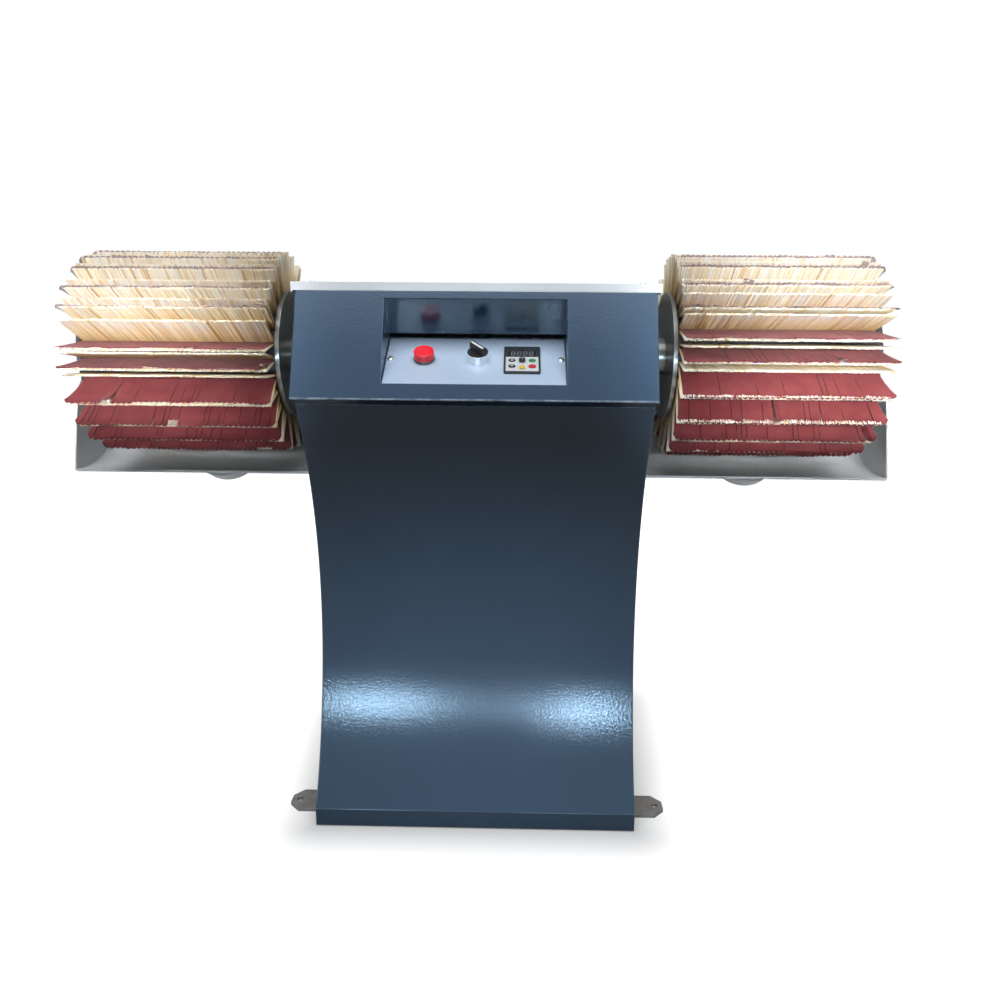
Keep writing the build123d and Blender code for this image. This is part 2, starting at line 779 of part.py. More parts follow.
# Speed keypad: case with a sunk key field, blind pockets for the keys and a sunk display
with BuildPart() as keypad_body:
    with BuildSketch(keypad_plane):
        RectangleRounded(keypad_width, keypad_length, keypad_rim)
    extrude(amount=keypad_height)
    with BuildSketch(keypad_plane):
        Rectangle(keypad_rear_width, keypad_rear_length)
    extrude(amount=-keypad_rear_depth)
    with BuildSketch(keypad_plane.offset(field_floor)):
        with Locations((0, field_row)):
            Rectangle(keypad_rear_width, keypad_field_length)
    extrude(amount=keypad_face_thickness, mode=Mode.SUBTRACT)
    with BuildSketch(keypad_plane.offset(keypad_height - display_thickness)):
        with Locations((0, display_row)):
            Rectangle(display_width, display_length)
    extrude(amount=display_thickness, mode=Mode.SUBTRACT)
    with BuildSketch(keypad_plane.offset(pocket_floor)):
        key_holes()
    extrude(amount=key_root, mode=Mode.SUBTRACT)
    with BuildSketch(keypad_plane.offset(field_floor)):
        with Locations((0, dial_row)):
            Circle(dial_spindle_radius + running_gap)
    extrude(amount=-dial_spindle_length, mode=Mode.SUBTRACT)
keypad_body.part.label = "keypad_body"
export_step(keypad_body.part, "parts/keypad_body.step")

with BuildPart() as keypad_face:
    with BuildSketch(keypad_plane.offset(field_floor)):
        with Locations((0, field_row)):
            Rectangle(keypad_rear_width, keypad_field_length)
        with Locations((0, dial_row)):
            Circle(dial_spindle_radius + key_gap, mode=Mode.SUBTRACT)
    extrude(amount=keypad_face_thickness)
    with BuildSketch(keypad_plane.offset(field_floor)):
        key_holes()
    extrude(amount=keypad_face_thickness, mode=Mode.SUBTRACT)
keypad_face.part.label = "keypad_face"
export_step(keypad_face.part, "parts/keypad_face.step")

with BuildPart() as keypad_display:
    with BuildSketch(keypad_plane.offset(keypad_height - display_thickness)):
        with Locations((0, display_row)):
            Rectangle(display_width, display_length)
    extrude(amount=display_thickness)
keypad_display.part.label = "keypad_display"
export_step(keypad_display.part, "parts/keypad_display.step")

with BuildPart() as keypad_dial:
    with BuildSketch(keypad_plane.offset(keypad_height + fit_gap)):
        with Locations((0, dial_row)):
            Circle(dial_radius)
    extrude(amount=dial_height)
    with BuildSketch(keypad_plane.offset(keypad_height + fit_gap)):
        with Locations((0, dial_row)):
            Circle(dial_spindle_radius)
    extrude(amount=-dial_spindle_length)
keypad_dial.part.label = "keypad_dial"
export_step(keypad_dial.part, "parts/keypad_dial.step")

key_up = key_cap(*up_key)
key_up.part.label = "key_up"
export_step(key_up.part, "parts/key_up.step")
key_down = key_cap(*down_key)
key_down.part.label = "key_down"
export_step(key_down.part, "parts/key_down.step")
key_run = key_cap(*run_key)
key_run.part.label = "key_run"
export_step(key_run.part, "parts/key_run.step")
key_stop = key_cap(*stop_key)
key_stop.part.label = "key_stop"
export_step(key_stop.part, "parts/key_stop.step")
key_function = key_cap(*function_key)
key_function.part.label = "key_function"
export_step(key_function.part, "parts/key_function.step")

# Top cover: a pale sheet that falls to the rear, with a lip all round
lid_half_width = half_width + lid_overhang
lid_nose = lid_front.X - cover_sheet
lid_tail = rear_y + cover_sheet
with BuildPart() as top_cover:
    with BuildSketch(Plane.YZ):
        side_profile(Vector(lid_nose, head_top_height + fit_gap),
                     Vector(lid_front.X, head_top_height + fit_gap),
                     Vector(lid_front.X, lid_z(lid_front.X, 0)), Vector(rear_y, lid_z(rear_y, 0)),
                     Vector(rear_y, lid_z(rear_y, -lid_skirt)),
                     Vector(lid_tail, lid_z(rear_y, -lid_skirt)),
                     Vector(lid_tail, lid_z(lid_tail, cover_sheet)),
                     Vector(lid_nose, lid_z(lid_nose, cover_sheet)))
    extrude(amount=lid_half_width, both=True)
    for side in (-1, 1):
        with BuildSketch(Plane.YZ.offset(side * lid_half_width)):
            side_profile(Vector(lid_nose, lid_z(lid_nose, -lid_skirt)),
                         Vector(lid_tail, lid_z(rear_y, -lid_skirt)),
                         Vector(lid_tail, lid_z(lid_tail, cover_sheet)),
                         Vector(lid_nose, lid_z(lid_nose, cover_sheet)))
        extrude(amount=-side * cover_sheet)
    with BuildSketch(lid_plane):
        with Locations(*lid_screw_places):
            Circle(cover_screw_radius + running_gap)
    extrude(amount=-2 * cover_sheet, mode=Mode.SUBTRACT)
top_cover.part.label = "top_cover"
export_step(top_cover.part, "parts/top_cover.step")

with BuildPart() as top_cover_screws:
    screws(lid_plane, lid_screw_places)
top_cover_screws.part.label = "top_cover_screws"
export_step(top_cover_screws.part, "parts/top_cover_screws.step")

# Rear panel: a flat sheet with air slots behind the motor and a hole for the cable gland
rear_top = lid_z(rear_y, 0) - fit_gap
with BuildPart() as rear_panel:
    with BuildSketch(rear_plane):
        with Locations((0, (floor_gap + rear_top) / 2)):
            Rectangle(2 * side_outer, rear_top - floor_gap)
        with Locations((0, louvre_base_height + louvre_pitch * (louvre_rows - 1) / 2)):
            with GridLocations(1.2 * louvre_width, louvre_pitch, 2, louvre_rows):
                SlotOverall(louvre_width, louvre_height, mode=Mode.SUBTRACT)
        with Locations((side_inner - gland_inset, gland_z)):
            Circle(gland_radius + fit_gap, mode=Mode.SUBTRACT)
        with Locations(*rear_screw_places):
            Circle(cover_screw_radius + running_gap, mode=Mode.SUBTRACT)
    extrude(amount=-cover_sheet)
rear_panel.part.label = "rear_panel"
export_step(rear_panel.part, "parts/rear_panel.step")

with BuildPart() as rear_panel_screws:
    screws(rear_plane, rear_screw_places)
rear_panel_screws.part.label = "rear_panel_screws"
export_step(rear_panel_screws.part, "parts/rear_panel_screws.step")

# Cable gland: hexagon and dome outside, thread and locknut inside, bored for a cable
gland_plane = Plane(origin=(gland_inset - side_inner, rear_y, gland_z), x_dir=(-1, 0, 0), z_dir=(0, 1, 0))
with BuildPart() as cable_gland:
    with BuildSketch(gland_plane):
        RegularPolygon(gland_nut_radius, 6, major_radius=False)
    extrude(amount=gland_nut_length)
    with BuildSketch(gland_plane):
        Circle(gland_radius)
    extrude(amount=gland_length)
    with BuildSketch(gland_plane):
        Circle(gland_radius)
    extrude(amount=-gland_length)
    with BuildSketch(gland_plane.offset(-cover_sheet)):
        RegularPolygon(gland_nut_radius, 6, major_radius=False)
    extrude(amount=-gland_nut_length)
    with BuildSketch(gland_plane):
        Circle(gland_bore_radius)
    extrude(amount=gland_length, both=True, mode=Mode.SUBTRACT)
cable_gland.part.label = "cable_gland"
export_step(cable_gland.part, "parts/cable_gland.step")

# Bearing brackets: angle shelves on the side panels that carry the pillow blocks
with BuildPart() as bearing_brackets:
    with BuildSketch(seat_plane):
        with Locations((bearing_x, spindle_y)):
            Rectangle(bracket_width, bearing_base_length)
        with Locations(*bearing_bolt_places):
            Circle(bearing_bolt_radius + fit_gap, mode=Mode.SUBTRACT)
    extrude(amount=-bracket_thickness)
    with BuildSketch(seat_plane.offset(-bracket_thickness)):
        with Locations((side_inner - bracket_thickness / 2, spindle_y)):
            Rectangle(bracket_thickness, bearing_base_length)
    extrude(amount=bracket_thickness - bracket_height)
    mirror(about=Plane.YZ)
bearing_brackets.part.label = "bearing_brackets"
export_step(bearing_brackets.part, "parts/bearing_brackets.step")

# Pillow blocks: bored housings on bolted feet, each with a bearing insert
with BuildPart() as bearing_housings:
    with BuildSketch(seat_plane):
        with Locations((bearing_x, spindle_y)):
            Rectangle(bearing_base_width, bearing_base_length)
        with Locations(*bearing_bolt_places):
            Circle(bearing_bolt_radius + fit_gap, mode=Mode.SUBTRACT)
    extrude(amount=bearing_base_thickness)
    with BuildSketch(seat_plane):
        with Locations((bearing_x, spindle_y)):
            Rectangle(housing_width, 2 * housing_radius)
    extrude(amount=bearing_centre_height)
    spindle_tube(housing_radius, 0, bearing_x - housing_width / 2, bearing_x + housing_width / 2)
    spindle_tube(bearing_outer_radius + running_gap, 0, bearing_x - bearing_base_width / 2,
                 bearing_x + bearing_base_width / 2, Mode.SUBTRACT)
    mirror(about=Plane.YZ)
bearing_housings.part.label = "bearing_housings"
export_step(bearing_housings.part, "parts/bearing_housings.step")

with BuildPart() as bearing_inserts:
    spindle_tube(bearing_outer_radius, shaft_radius + running_gap, bearing_x - bearing_width / 2,
                 bearing_x + bearing_width / 2)
    mirror(about=Plane.YZ)
bearing_inserts.part.label = "bearing_inserts"
export_step(bearing_inserts.part, "parts/bearing_inserts.step")

with BuildPart() as bearing_bolts:
    bolts(seat_plane.offset(bearing_base_thickness), bearing_bolt_places, bearing_bolt_radius,
          bearing_base_thickness + bracket_thickness)
    mirror(about=Plane.YZ)
bearing_bolts.part.label = "bearing_bolts"
export_step(bearing_bolts.part, "parts/bearing_bolts.step")

# Spindle: one shaft through the column with a shoulder inside and a thread outside each brush
flange_end = brush_end + outer_flange_thickness
shoulder = brush_start - inner_flange_thickness
with BuildPart() as spindle_shaft:
    spindle_tube(shaft_radius, 0, 0, flange_end)
    spindle_tube(collar_radius, 0, shoulder - collar_length, shoulder)
    spindle_tube(thread_radius, 0, flange_end, shaft_end)
    mirror(about=Plane.YZ)
spindle_shaft.part.label = "spindle_shaft"
export_step(spindle_shaft.part, "parts/spindle_shaft.step")

with BuildPart() as inner_flanges:
    spindle_tube(inner_flange_radius, shaft_radius + running_gap, shoulder, brush_start)
    mirror(about=Plane.YZ)
inner_flanges.part.label = "inner_flanges"
export_step(inner_flanges.part, "parts/inner_flanges.step")

with BuildPart() as outer_flanges:
    spindle_tube(outer_flange_radius, shaft_radius + running_gap, brush_end, flange_end)
    mirror(about=Plane.YZ)
outer_flanges.part.label = "outer_flanges"
export_step(outer_flanges.part, "parts/outer_flanges.step")

with BuildPart() as clamp_nuts:
    with BuildSketch(spindle_plane.offset(flange_end)):
        RegularPolygon(clamp_nut_width / 2, 6, major_radius=False)
        Circle(thread_radius + running_gap, mode=Mode.SUBTRACT)
    extrude(amount=clamp_nut_length)
    mirror(about=Plane.YZ)
clamp_nuts.part.label = "clamp_nuts"
export_step(clamp_nuts.part, "parts/clamp_nuts.step")

# Brush hubs: rim with slanted slots, web and sleeve
slot_width = strip_thickness + flap_thickness + 2 * fit_gap
with BuildPart() as right_brush_hub:
    spindle_tube(hub_radius, hub_radius - hub_rim, brush_start, brush_end)
    spindle_tube(shaft_radius + hub_sleeve, shaft_radius + running_gap, brush_start, brush_end)
    spindle_tube(hub_radius - hub_rim, shaft_radius + running_gap, brush_middle - hub_web / 2,
                 brush_middle + hub_web / 2)
    with BuildSketch(spindle_plane.offset(brush_start)):
        with PolarLocations(hub_radius, strip_count, start_angle=brush_phase):
            Rectangle(2 * slot_depth, slot_width, rotation=strip_slant)
    extrude(amount=brush_length, mode=Mode.SUBTRACT)
left_brush_hub = twin(right_brush_hub)
right_brush_hub.part.label = "right_brush_hub"
export_step(right_brush_hub.part, "parts/right_brush_hub.step")
left_brush_hub.part.label = "left_brush_hub"
export_step(left_brush_hub.part, "parts/left_brush_hub.step")

# Strips lean with their slots, so their reach from the mouth of the slot to the brush radius is longer
slant_inward = hub_radius * cos(radians(strip_slant))
slant_aside = hub_radius * sin(radians(strip_slant))
strip_reach = sqrt(brush_radius ** 2 - slant_aside ** 2) - slant_inward
flap_reach = sqrt(flap_radius ** 2 - slant_aside ** 2) - slant_inward

# One bristle strip lies along X and Z from the mouth of its slot: a backing slice with a row of
# strands that spread outward
strip_floor = fit_gap - slot_depth
strip_top = strip_floor + strip_back_height
strand_pitch = (brush_length - 2 * strand_end_inset) / strands_per_strip
strand_width = strand_pitch - strand_gap
tip_spread = 1 + 2 * strand_flare / (brush_length - 2 * strand_end_inset)
pair_thickness = strip_thickness + flap_thickness
flap_back = flap_thickness - pair_thickness / 2
with BuildPart() as bristle_strip:
    with BuildSketch(Plane.XZ.offset(-pair_thickness / 2)):
        with Locations(((strip_floor + strip_top) / 2, brush_middle)):
            Rectangle(strip_back_height, brush_length)
        for strand in range(strands_per_strip):
            root = strand_pitch * (strand - (strands_per_strip - 1) / 2)
            tip = root * tip_spread
            with BuildLine():
                Polyline((strip_floor, brush_middle + root - strand_width / 2),
                         (strip_top, brush_middle + root - strand_width / 2),
                         (strip_reach, brush_middle + tip - strand_width / 2),
                         (strip_reach, brush_middle + tip + strand_width / 2),
                         (strip_top, brush_middle + root + strand_width / 2),
                         (strip_floor, brush_middle + root + strand_width / 2), close=True)
            make_face()
    extrude(amount=strip_thickness)

with BuildPart(spindle_plane) as right_bristle_strips:
    with PolarLocations(hub_radius, strip_count, start_angle=brush_phase):
        add(bristle_strip.part, rotation=(0, 0, strip_slant))
left_bristle_strips = twin(right_bristle_strips)
right_bristle_strips.part.label = "right_bristle_strips"
export_step(right_bristle_strips.part, "parts/right_bristle_strips.step")
left_bristle_strips.part.label = "left_bristle_strips"
export_step(left_bristle_strips.part, "parts/left_bristle_strips.step")

# One abrasive flap lies against its strip: a cloth slit into fingers that spreads past the flanges
flap_half_length = brush_length / 2 - strand_end_inset
flap_spread_start = inner_flange_radius + strand_end_inset - hub_radius
with BuildPart() as abrasive_flap:
    with BuildSketch(Plane.XZ.offset(-flap_back)):
        with BuildLine():
            Polyline((strip_floor, brush_middle - flap_half_length),
                     (flap_spread_start, brush_middle - flap_half_length),
                     (flap_reach, brush_middle - flap_half_length - strand_flare),
                     (flap_reach, brush_middle + flap_half_length + strand_flare),
                     (flap_spread_start, brush_middle + flap_half_length),
                     (strip_floor, brush_middle + flap_half_length), close=True)
        make_face()
        with Locations((flap_reach, brush_middle)):
            with GridLocations(flap_reach, 2 * flap_half_length / (flap_slits + 1), 1, flap_slits):
                Rectangle(2 * flap_slit_length, flap_slit_width, mode=Mode.SUBTRACT)
    extrude(amount=flap_thickness)

with BuildPart(spindle_plane) as right_abrasive_flaps:
    with PolarLocations(hub_radius, strip_count, start_angle=brush_phase):
        add(abrasive_flap.part, rotation=(0, 0, strip_slant))
left_abrasive_flaps = twin(right_abrasive_flaps)
right_abrasive_flaps.part.label = "right_abrasive_flaps"
export_step(right_abrasive_flaps.part, "parts/right_abrasive_flaps.step")
left_abrasive_flaps.part.label = "left_abrasive_flaps"
export_step(left_abrasive_flaps.part, "parts/left_abrasive_flaps.step")

# Belt drive: one grooved pulley on the spindle, one on the motor shaft and the belt between them
pulley_start = belt_x - pulley_width / 2
pulley_end = belt_x + pulley_width / 2
groove_floor_width = groove_width - 2 * groove_depth * tan(radians(groove_half_angle))
with BuildPart() as spindle_pulley:
    spindle_tube(spindle_pulley_radius, shaft_radius + running_gap, pulley_start, pulley_end)
    with BuildSketch(Plane(origin=(belt_x, spindle_y, spindle_height), x_dir=(1, 0, 0),
                           z_dir=(0, -1, 0))):
        groove(spindle_pulley_radius)
    revolve(axis=Axis((0, spindle_y, spindle_height), (1, 0, 0)), mode=Mode.SUBTRACT)
spindle_pulley.part.label = "spindle_pulley"
export_step(spindle_pulley.part, "parts/spindle_pulley.step")

with BuildPart() as motor_pulley:
    motor_tube(motor_pulley_radius, motor_shaft_radius + running_gap, pulley_start, pulley_end)
    with BuildSketch(Plane(origin=(belt_x, motor_y, motor_z), x_dir=(1, 0, 0), z_dir=(0, -1, 0))):
        groove(motor_pulley_radius)
    revolve(axis=Axis((0, motor_y, motor_z), (1, 0, 0)), mode=Mode.SUBTRACT)
motor_pulley.part.label = "motor_pulley"
export_step(motor_pulley.part, "parts/motor_pulley.step")

spindle_centre = Vector(spindle_y, spindle_height)
motor_centre = Vector(motor_y, motor_z)
centre_line = motor_centre - spindle_centre
belt_along = centre_line.normalized()
belt_across = Vector(belt_along.Y, -belt_along.X)
belt_cos = (spindle_pulley_radius - motor_pulley_radius) / centre_line.length
belt_sin = sqrt(1 - belt_cos ** 2)
front_side = belt_along * belt_cos + belt_across * belt_sin
back_side = belt_along * belt_cos - belt_across * belt_sin
belt_top_width = groove_width - 2 * fit_gap / cos(radians(groove_half_angle))
belt_foot_width = belt_top_width - 2 * belt_height * tan(radians(groove_half_angle))
belt_start = spindle_centre + front_side * spindle_pulley_radius
belt_turn = motor_centre + front_side * motor_pulley_radius
belt_return = motor_centre + back_side * motor_pulley_radius
belt_finish = spindle_centre + back_side * spindle_pulley_radius
belt_bottom = motor_centre + belt_along * motor_pulley_radius
belt_crown = spindle_centre - belt_along * spindle_pulley_radius
belt_run = (belt_turn - belt_start).normalized()
with BuildPart() as v_belt:
    with BuildLine(Plane.YZ.offset(belt_x)):
        Line(*pairs(belt_start, belt_turn))
        ThreePointArc(*pairs(belt_turn, belt_bottom, belt_return))
        Line(*pairs(belt_return, belt_finish))
        ThreePointArc(*pairs(belt_finish, belt_crown, belt_start))
    with BuildSketch(Plane(origin=(belt_x, belt_start.X, belt_start.Y), x_dir=(1, 0, 0),
                           z_dir=(0, belt_run.X, belt_run.Y))):
        with BuildLine():
            Polyline((-belt_top_width / 2, 0), (belt_top_width / 2, 0),
                     (belt_foot_width / 2, -belt_height), (-belt_foot_width / 2, -belt_height), close=True)
        make_face()
    sweep()
v_belt.part.label = "v_belt"
export_step(v_belt.part, "parts/v_belt.step")

# Motor on its plate: finned housing on feet, end shield, fan cowl, terminal box, rotor and fan
with BuildPart() as motor_plate:
    with BuildSketch(Plane.XY.offset(frame_top)):
        with Locations((motor_mid, (plate_front + frame_rear) / 2)):
            Rectangle(motor_foot_length + 2 * motor_plate_margin, frame_rear - plate_front)
        with Locations(*motor_bolt_places):
            Circle(motor_bolt_radius + fit_gap, mode=Mode.SUBTRACT)
    extrude(amount=motor_plate_thickness)
motor_plate.part.label = "motor_plate"
export_step(motor_plate.part, "parts/motor_plate.step")

with BuildPart() as motor_housing:
    with BuildSketch(Plane.XY.offset(plate_top)):
        with Locations((motor_mid, motor_y)):
            Rectangle(motor_foot_length, motor_foot_width)
        with Locations(*motor_bolt_places):
            Circle(motor_bolt_radius + fit_gap, mode=Mode.SUBTRACT)
    extrude(amount=motor_foot_height)
    with BuildSketch(Plane.XY.offset(plate_top)):
        with Locations((motor_mid, motor_y)):
            Rectangle(motor_foot_length, motor_pedestal_width)
    extrude(amount=motor_axis_height)
    motor_tube(motor_radius, 0, motor_body_start, motor_body_end)
    with BuildSketch(motor_plane.offset(motor_body_start)):
        with PolarLocations(motor_radius + (motor_fin_height - motor_fin_width) / 2, motor_fin_count):
            Rectangle(motor_fin_height + motor_fin_width, motor_fin_width)
    extrude(amount=motor_body_length)
    motor_tube(rotor_radius + rotor_gap, 0, motor_body_start + motor_wall, motor_body_end, Mode.SUBTRACT)
    motor_tube(motor_shaft_radius + running_gap, 0, motor_body_start, motor_body_end, Mode.SUBTRACT)
motor_housing.part.label = "motor_housing"
export_step(motor_housing.part, "parts/motor_housing.step")

with BuildPart() as motor_end_shield:
    motor_tube(motor_radius, motor_shaft_radius + running_gap, motor_body_end,
               motor_body_end + motor_shield_length / 2)
    motor_tube(rotor_radius, motor_shaft_radius + running_gap, motor_body_end + motor_shield_length / 2,
               motor_nose)
motor_end_shield.part.label = "motor_end_shield"
export_step(motor_end_shield.part, "parts/motor_end_shield.step")

cowl_radius = motor_radius + motor_fin_height
cowl_start = motor_body_start - cowl_length
with BuildPart() as motor_fan_cowl:
    motor_tube(cowl_radius, cowl_radius - cowl_sheet, cowl_start, motor_body_start)
    with BuildSketch(motor_plane.offset(cowl_start)):
        Circle(cowl_radius)
        with PolarLocations(cowl_radius * 2 / 3, cowl_holes):
            Circle(cowl_hole_radius, mode=Mode.SUBTRACT)
        with PolarLocations(cowl_radius / 3, cowl_holes // 2):
            Circle(cowl_hole_radius, mode=Mode.SUBTRACT)
    extrude(amount=cowl_sheet)
motor_fan_cowl.part.label = "motor_fan_cowl"
export_step(motor_fan_cowl.part, "parts/motor_fan_cowl.step")

with BuildPart() as motor_terminal_box:
    with BuildSketch(Plane.XY.offset(motor_z + cowl_radius)):
        with Locations((motor_mid, motor_y)):
            Rectangle(terminal_box_length, terminal_box_width)
    extrude(amount=terminal_box_height)
motor_terminal_box.part.label = "motor_terminal_box"
export_step(motor_terminal_box.part, "parts/motor_terminal_box.step")

with BuildPart() as motor_bolts:
    bolts(Plane.XY.offset(plate_top + motor_foot_height), motor_bolt_places, motor_bolt_radius,
          motor_foot_height + motor_plate_thickness)
motor_bolts.part.label = "motor_bolts"
export_step(motor_bolts.part, "parts/motor_bolts.step")

fan_start = motor_body_start - (cowl_length + fan_length) / 2
with BuildPart() as motor_shaft:
    motor_tube(motor_shaft_radius, 0, fan_start, pulley_end)
    motor_tube(rotor_radius, 0, motor_body_start + 2 * motor_wall, motor_body_end - motor_wall)
motor_shaft.part.label = "motor_shaft"
export_step(motor_shaft.part, "parts/motor_shaft.step")

with BuildPart() as motor_fan:
    motor_tube(fan_hub_radius, motor_shaft_radius + running_gap, fan_start, fan_start + fan_length)
    with BuildSketch(motor_plane.offset(fan_start)):
        with PolarLocations((fan_radius + fan_hub_radius - fan_blade) / 2, fan_blades):
            Rectangle(fan_radius - fan_hub_radius + fan_blade, fan_blade)
    extrude(amount=fan_length)
motor_fan.part.label = "motor_fan"
export_step(motor_fan.part, "parts/motor_fan.step")

# Inverter unit on the inside of the left side panel, below the bolts of the hood
inverter_top = spindle_height - hood_bolt_circle - inverter_gap
with BuildPart() as inverter_unit:
    with BuildSketch(Plane.XY.offset(inverter_top)):
        with Locations((inverter_width / 2 - side_inner, plinth_y + inverter_setback)):
            Rectangle(inverter_width, inverter_depth)
    extrude(amount=-inverter_height)
inverter_unit.part.label = "inverter_unit"
export_step(inverter_unit.part, "parts/inverter_unit.step")

# Dust hoods: a curved tray with a flange on the column, an end plate and a round port
hood_foot = 270.0 - hood_front_angle
hood_head = 360.0 + hood_top_angle
with BuildPart() as right_hood_shell:
    with BuildSketch(spindle_plane.offset(side_outer)):
        hood_profile(hood_radius)
        with Locations(*hood_bolt_places):
            Circle(hood_bolt_radius + fit_gap, mode=Mode.SUBTRACT)
    extrude(amount=cover_sheet)
    with BuildSketch(spindle_plane.offset(side_outer)):
        hood_band(hood_radius - cover_sheet, hood_radius, hood_foot, hood_head)
    extrude(amount=hood_end - cover_sheet - side_outer)
    with BuildSketch(spindle_plane.offset(side_outer)):
        hood_band(hood_radius, hood_radius + cover_sheet, hood_foot,
                  hood_foot + degrees(hem_width / hood_radius))
    extrude(amount=hood_end - cover_sheet - side_outer)
    with BuildSketch(port_plane):
        Circle(port_radius - port_wall)
    extrude(amount=-port_length, mode=Mode.SUBTRACT)
left_hood_shell = twin(right_hood_shell)
right_hood_shell.part.label = "right_hood_shell"
export_step(right_hood_shell.part, "parts/right_hood_shell.step")
left_hood_shell.part.label = "left_hood_shell"
export_step(left_hood_shell.part, "parts/left_hood_shell.step")

with BuildPart() as right_hood_end_plate:
    with BuildSketch(spindle_plane.offset(hood_end - cover_sheet)):
        hood_profile(hood_radius)
    extrude(amount=cover_sheet)
left_hood_end_plate = twin(right_hood_end_plate)
right_hood_end_plate.part.label = "right_hood_end_plate"
export_step(right_hood_end_plate.part, "parts/right_hood_end_plate.step")
left_hood_end_plate.part.label = "left_hood_end_plate"
export_step(left_hood_end_plate.part, "parts/left_hood_end_plate.step")

with BuildPart() as right_dust_port:
    with BuildSketch(port_plane):
        Circle(port_radius)
    extrude(amount=-port_length)
    with BuildSketch(port_plane.offset(-port_spigot - port_bead_width)):
        Circle(port_radius + port_bead)
    extrude(amount=port_bead_width)
    with BuildSketch(port_plane):
        Circle(port_radius - port_wall)
    extrude(amount=-port_length, mode=Mode.SUBTRACT)
    spindle_tube(hood_radius, 0, side_outer, hood_end, Mode.SUBTRACT)
left_dust_port = twin(right_dust_port)
right_dust_port.part.label = "right_dust_port"
export_step(right_dust_port.part, "parts/right_dust_port.step")
left_dust_port.part.label = "left_dust_port"
export_step(left_dust_port.part, "parts/left_dust_port.step")

with BuildPart() as hood_bolts:
    bolts(spindle_plane.offset(half_width), hood_bolt_places, hood_bolt_radius, cover_sheet + side_sheet)
    mirror(about=Plane.YZ)
hood_bolts.part.label = "hood_bolts"
export_step(hood_bolts.part, "parts/hood_bolts.step")
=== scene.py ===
import json
import random
from math import atan2, cos, pi, radians, sin, sqrt

import bpy
from mathutils import Matrix, Vector


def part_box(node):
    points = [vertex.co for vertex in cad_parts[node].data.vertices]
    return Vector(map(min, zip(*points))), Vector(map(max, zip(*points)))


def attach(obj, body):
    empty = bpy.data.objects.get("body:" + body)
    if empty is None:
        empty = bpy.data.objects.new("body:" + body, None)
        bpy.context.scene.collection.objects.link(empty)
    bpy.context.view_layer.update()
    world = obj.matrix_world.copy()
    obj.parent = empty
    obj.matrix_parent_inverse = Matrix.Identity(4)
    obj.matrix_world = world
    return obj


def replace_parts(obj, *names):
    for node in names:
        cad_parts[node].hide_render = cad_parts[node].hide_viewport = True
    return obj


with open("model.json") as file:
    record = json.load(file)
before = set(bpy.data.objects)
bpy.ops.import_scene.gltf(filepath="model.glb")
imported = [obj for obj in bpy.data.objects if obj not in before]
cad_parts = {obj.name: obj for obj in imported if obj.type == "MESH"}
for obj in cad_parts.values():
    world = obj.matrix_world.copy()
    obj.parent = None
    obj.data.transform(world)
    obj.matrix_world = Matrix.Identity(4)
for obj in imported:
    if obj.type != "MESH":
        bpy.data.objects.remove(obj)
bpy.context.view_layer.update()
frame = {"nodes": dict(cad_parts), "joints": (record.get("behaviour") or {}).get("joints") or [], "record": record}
nodes = frame["nodes"]
joints = {joint["name"]: joint for joint in frame["joints"]}

# Places that come from the frame, in metres
spindle = Vector(joints["spindle_spin"]["pos_m"])
panel_normal = Vector(joints["selector_turn"]["axis"])
panel_right = Vector((1, 0, 0))
panel_up = panel_normal.cross(panel_right)


# Small node helpers
def add_node(tree, kind, **values):
    """A shader node with its inputs or properties set by name."""
    made = tree.nodes.new("ShaderNode" + kind)
    for key, value in values.items():
        socket = key.replace("_", " ").title()
        if socket in made.inputs:
            made.inputs[socket].default_value = value
        else:
            setattr(made, key, value)
    return made


def join(tree, value, socket):
    """Feed a socket from another socket, or set it to a plain value."""
    if isinstance(value, bpy.types.NodeSocket):
        tree.links.new(value, socket)
    else:
        socket.default_value = value


def feed(tree, shader, **values):
    """Fill inputs of a shader by name, each from a socket or a plain value."""
    for key, value in values.items():
        join(tree, value, shader.inputs[key.replace("_", " ").title()])


def new_material(name, roughness, metallic=0.0, specular=0.5):
    """An empty procedural material with its tree and its shader."""
    material = bpy.data.materials.new(name)
    material.use_nodes = True
    tree = material.node_tree
    shader = tree.nodes["Principled BSDF"]
    shader.inputs["Roughness"].default_value = roughness
    shader.inputs["Metallic"].default_value = metallic
    shader.inputs["Specular IOR Level"].default_value = specular
    return material, tree, shader


def place_of(tree):
    """Coordinates on the object."""
    return add_node(tree, "TexCoord").outputs["Object"]


def point_value(tree, name):
    """Number that the points of a piece carry under a name."""
    return add_node(tree, "Attribute", attribute_name=name).outputs["Fac"]


def noise(tree, place, scale, detail=4.0, roughness=0.55):
    """Value of a noise texture at a place."""
    texture = add_node(tree, "TexNoise", scale=scale, detail=detail, roughness=roughness)
    tree.links.new(place, texture.inputs["Vector"])
    return texture.outputs["Fac"]


def colour_between(tree, factor, stops):
    """Colour ramp over a factor, with (position, colour) stops."""
    ramp = add_node(tree, "ValToRGB")
    while len(ramp.color_ramp.elements) < len(stops):
        ramp.color_ramp.elements.new(0.5)
    for element, (position, colour) in zip(ramp.color_ramp.elements, stops):
        element.position = position
        element.color = (*colour, 1)
    tree.links.new(factor, ramp.inputs["Fac"])
    return ramp.outputs["Color"]


def mixed(tree, factor, one, other, blend="MIX"):
    """Two colours mixed by a factor."""
    mix = add_node(tree, "Mix", data_type="RGBA", blend_type=blend)
    for name, value in (("Factor", factor), ("A", one), ("B", other)):
        join(tree, value, mix.inputs[name])
    return mix.outputs["Result"]


def product(tree, one, other):
    """Two colours multiplied."""
    return mixed(tree, 1.0, one, other, "MULTIPLY")


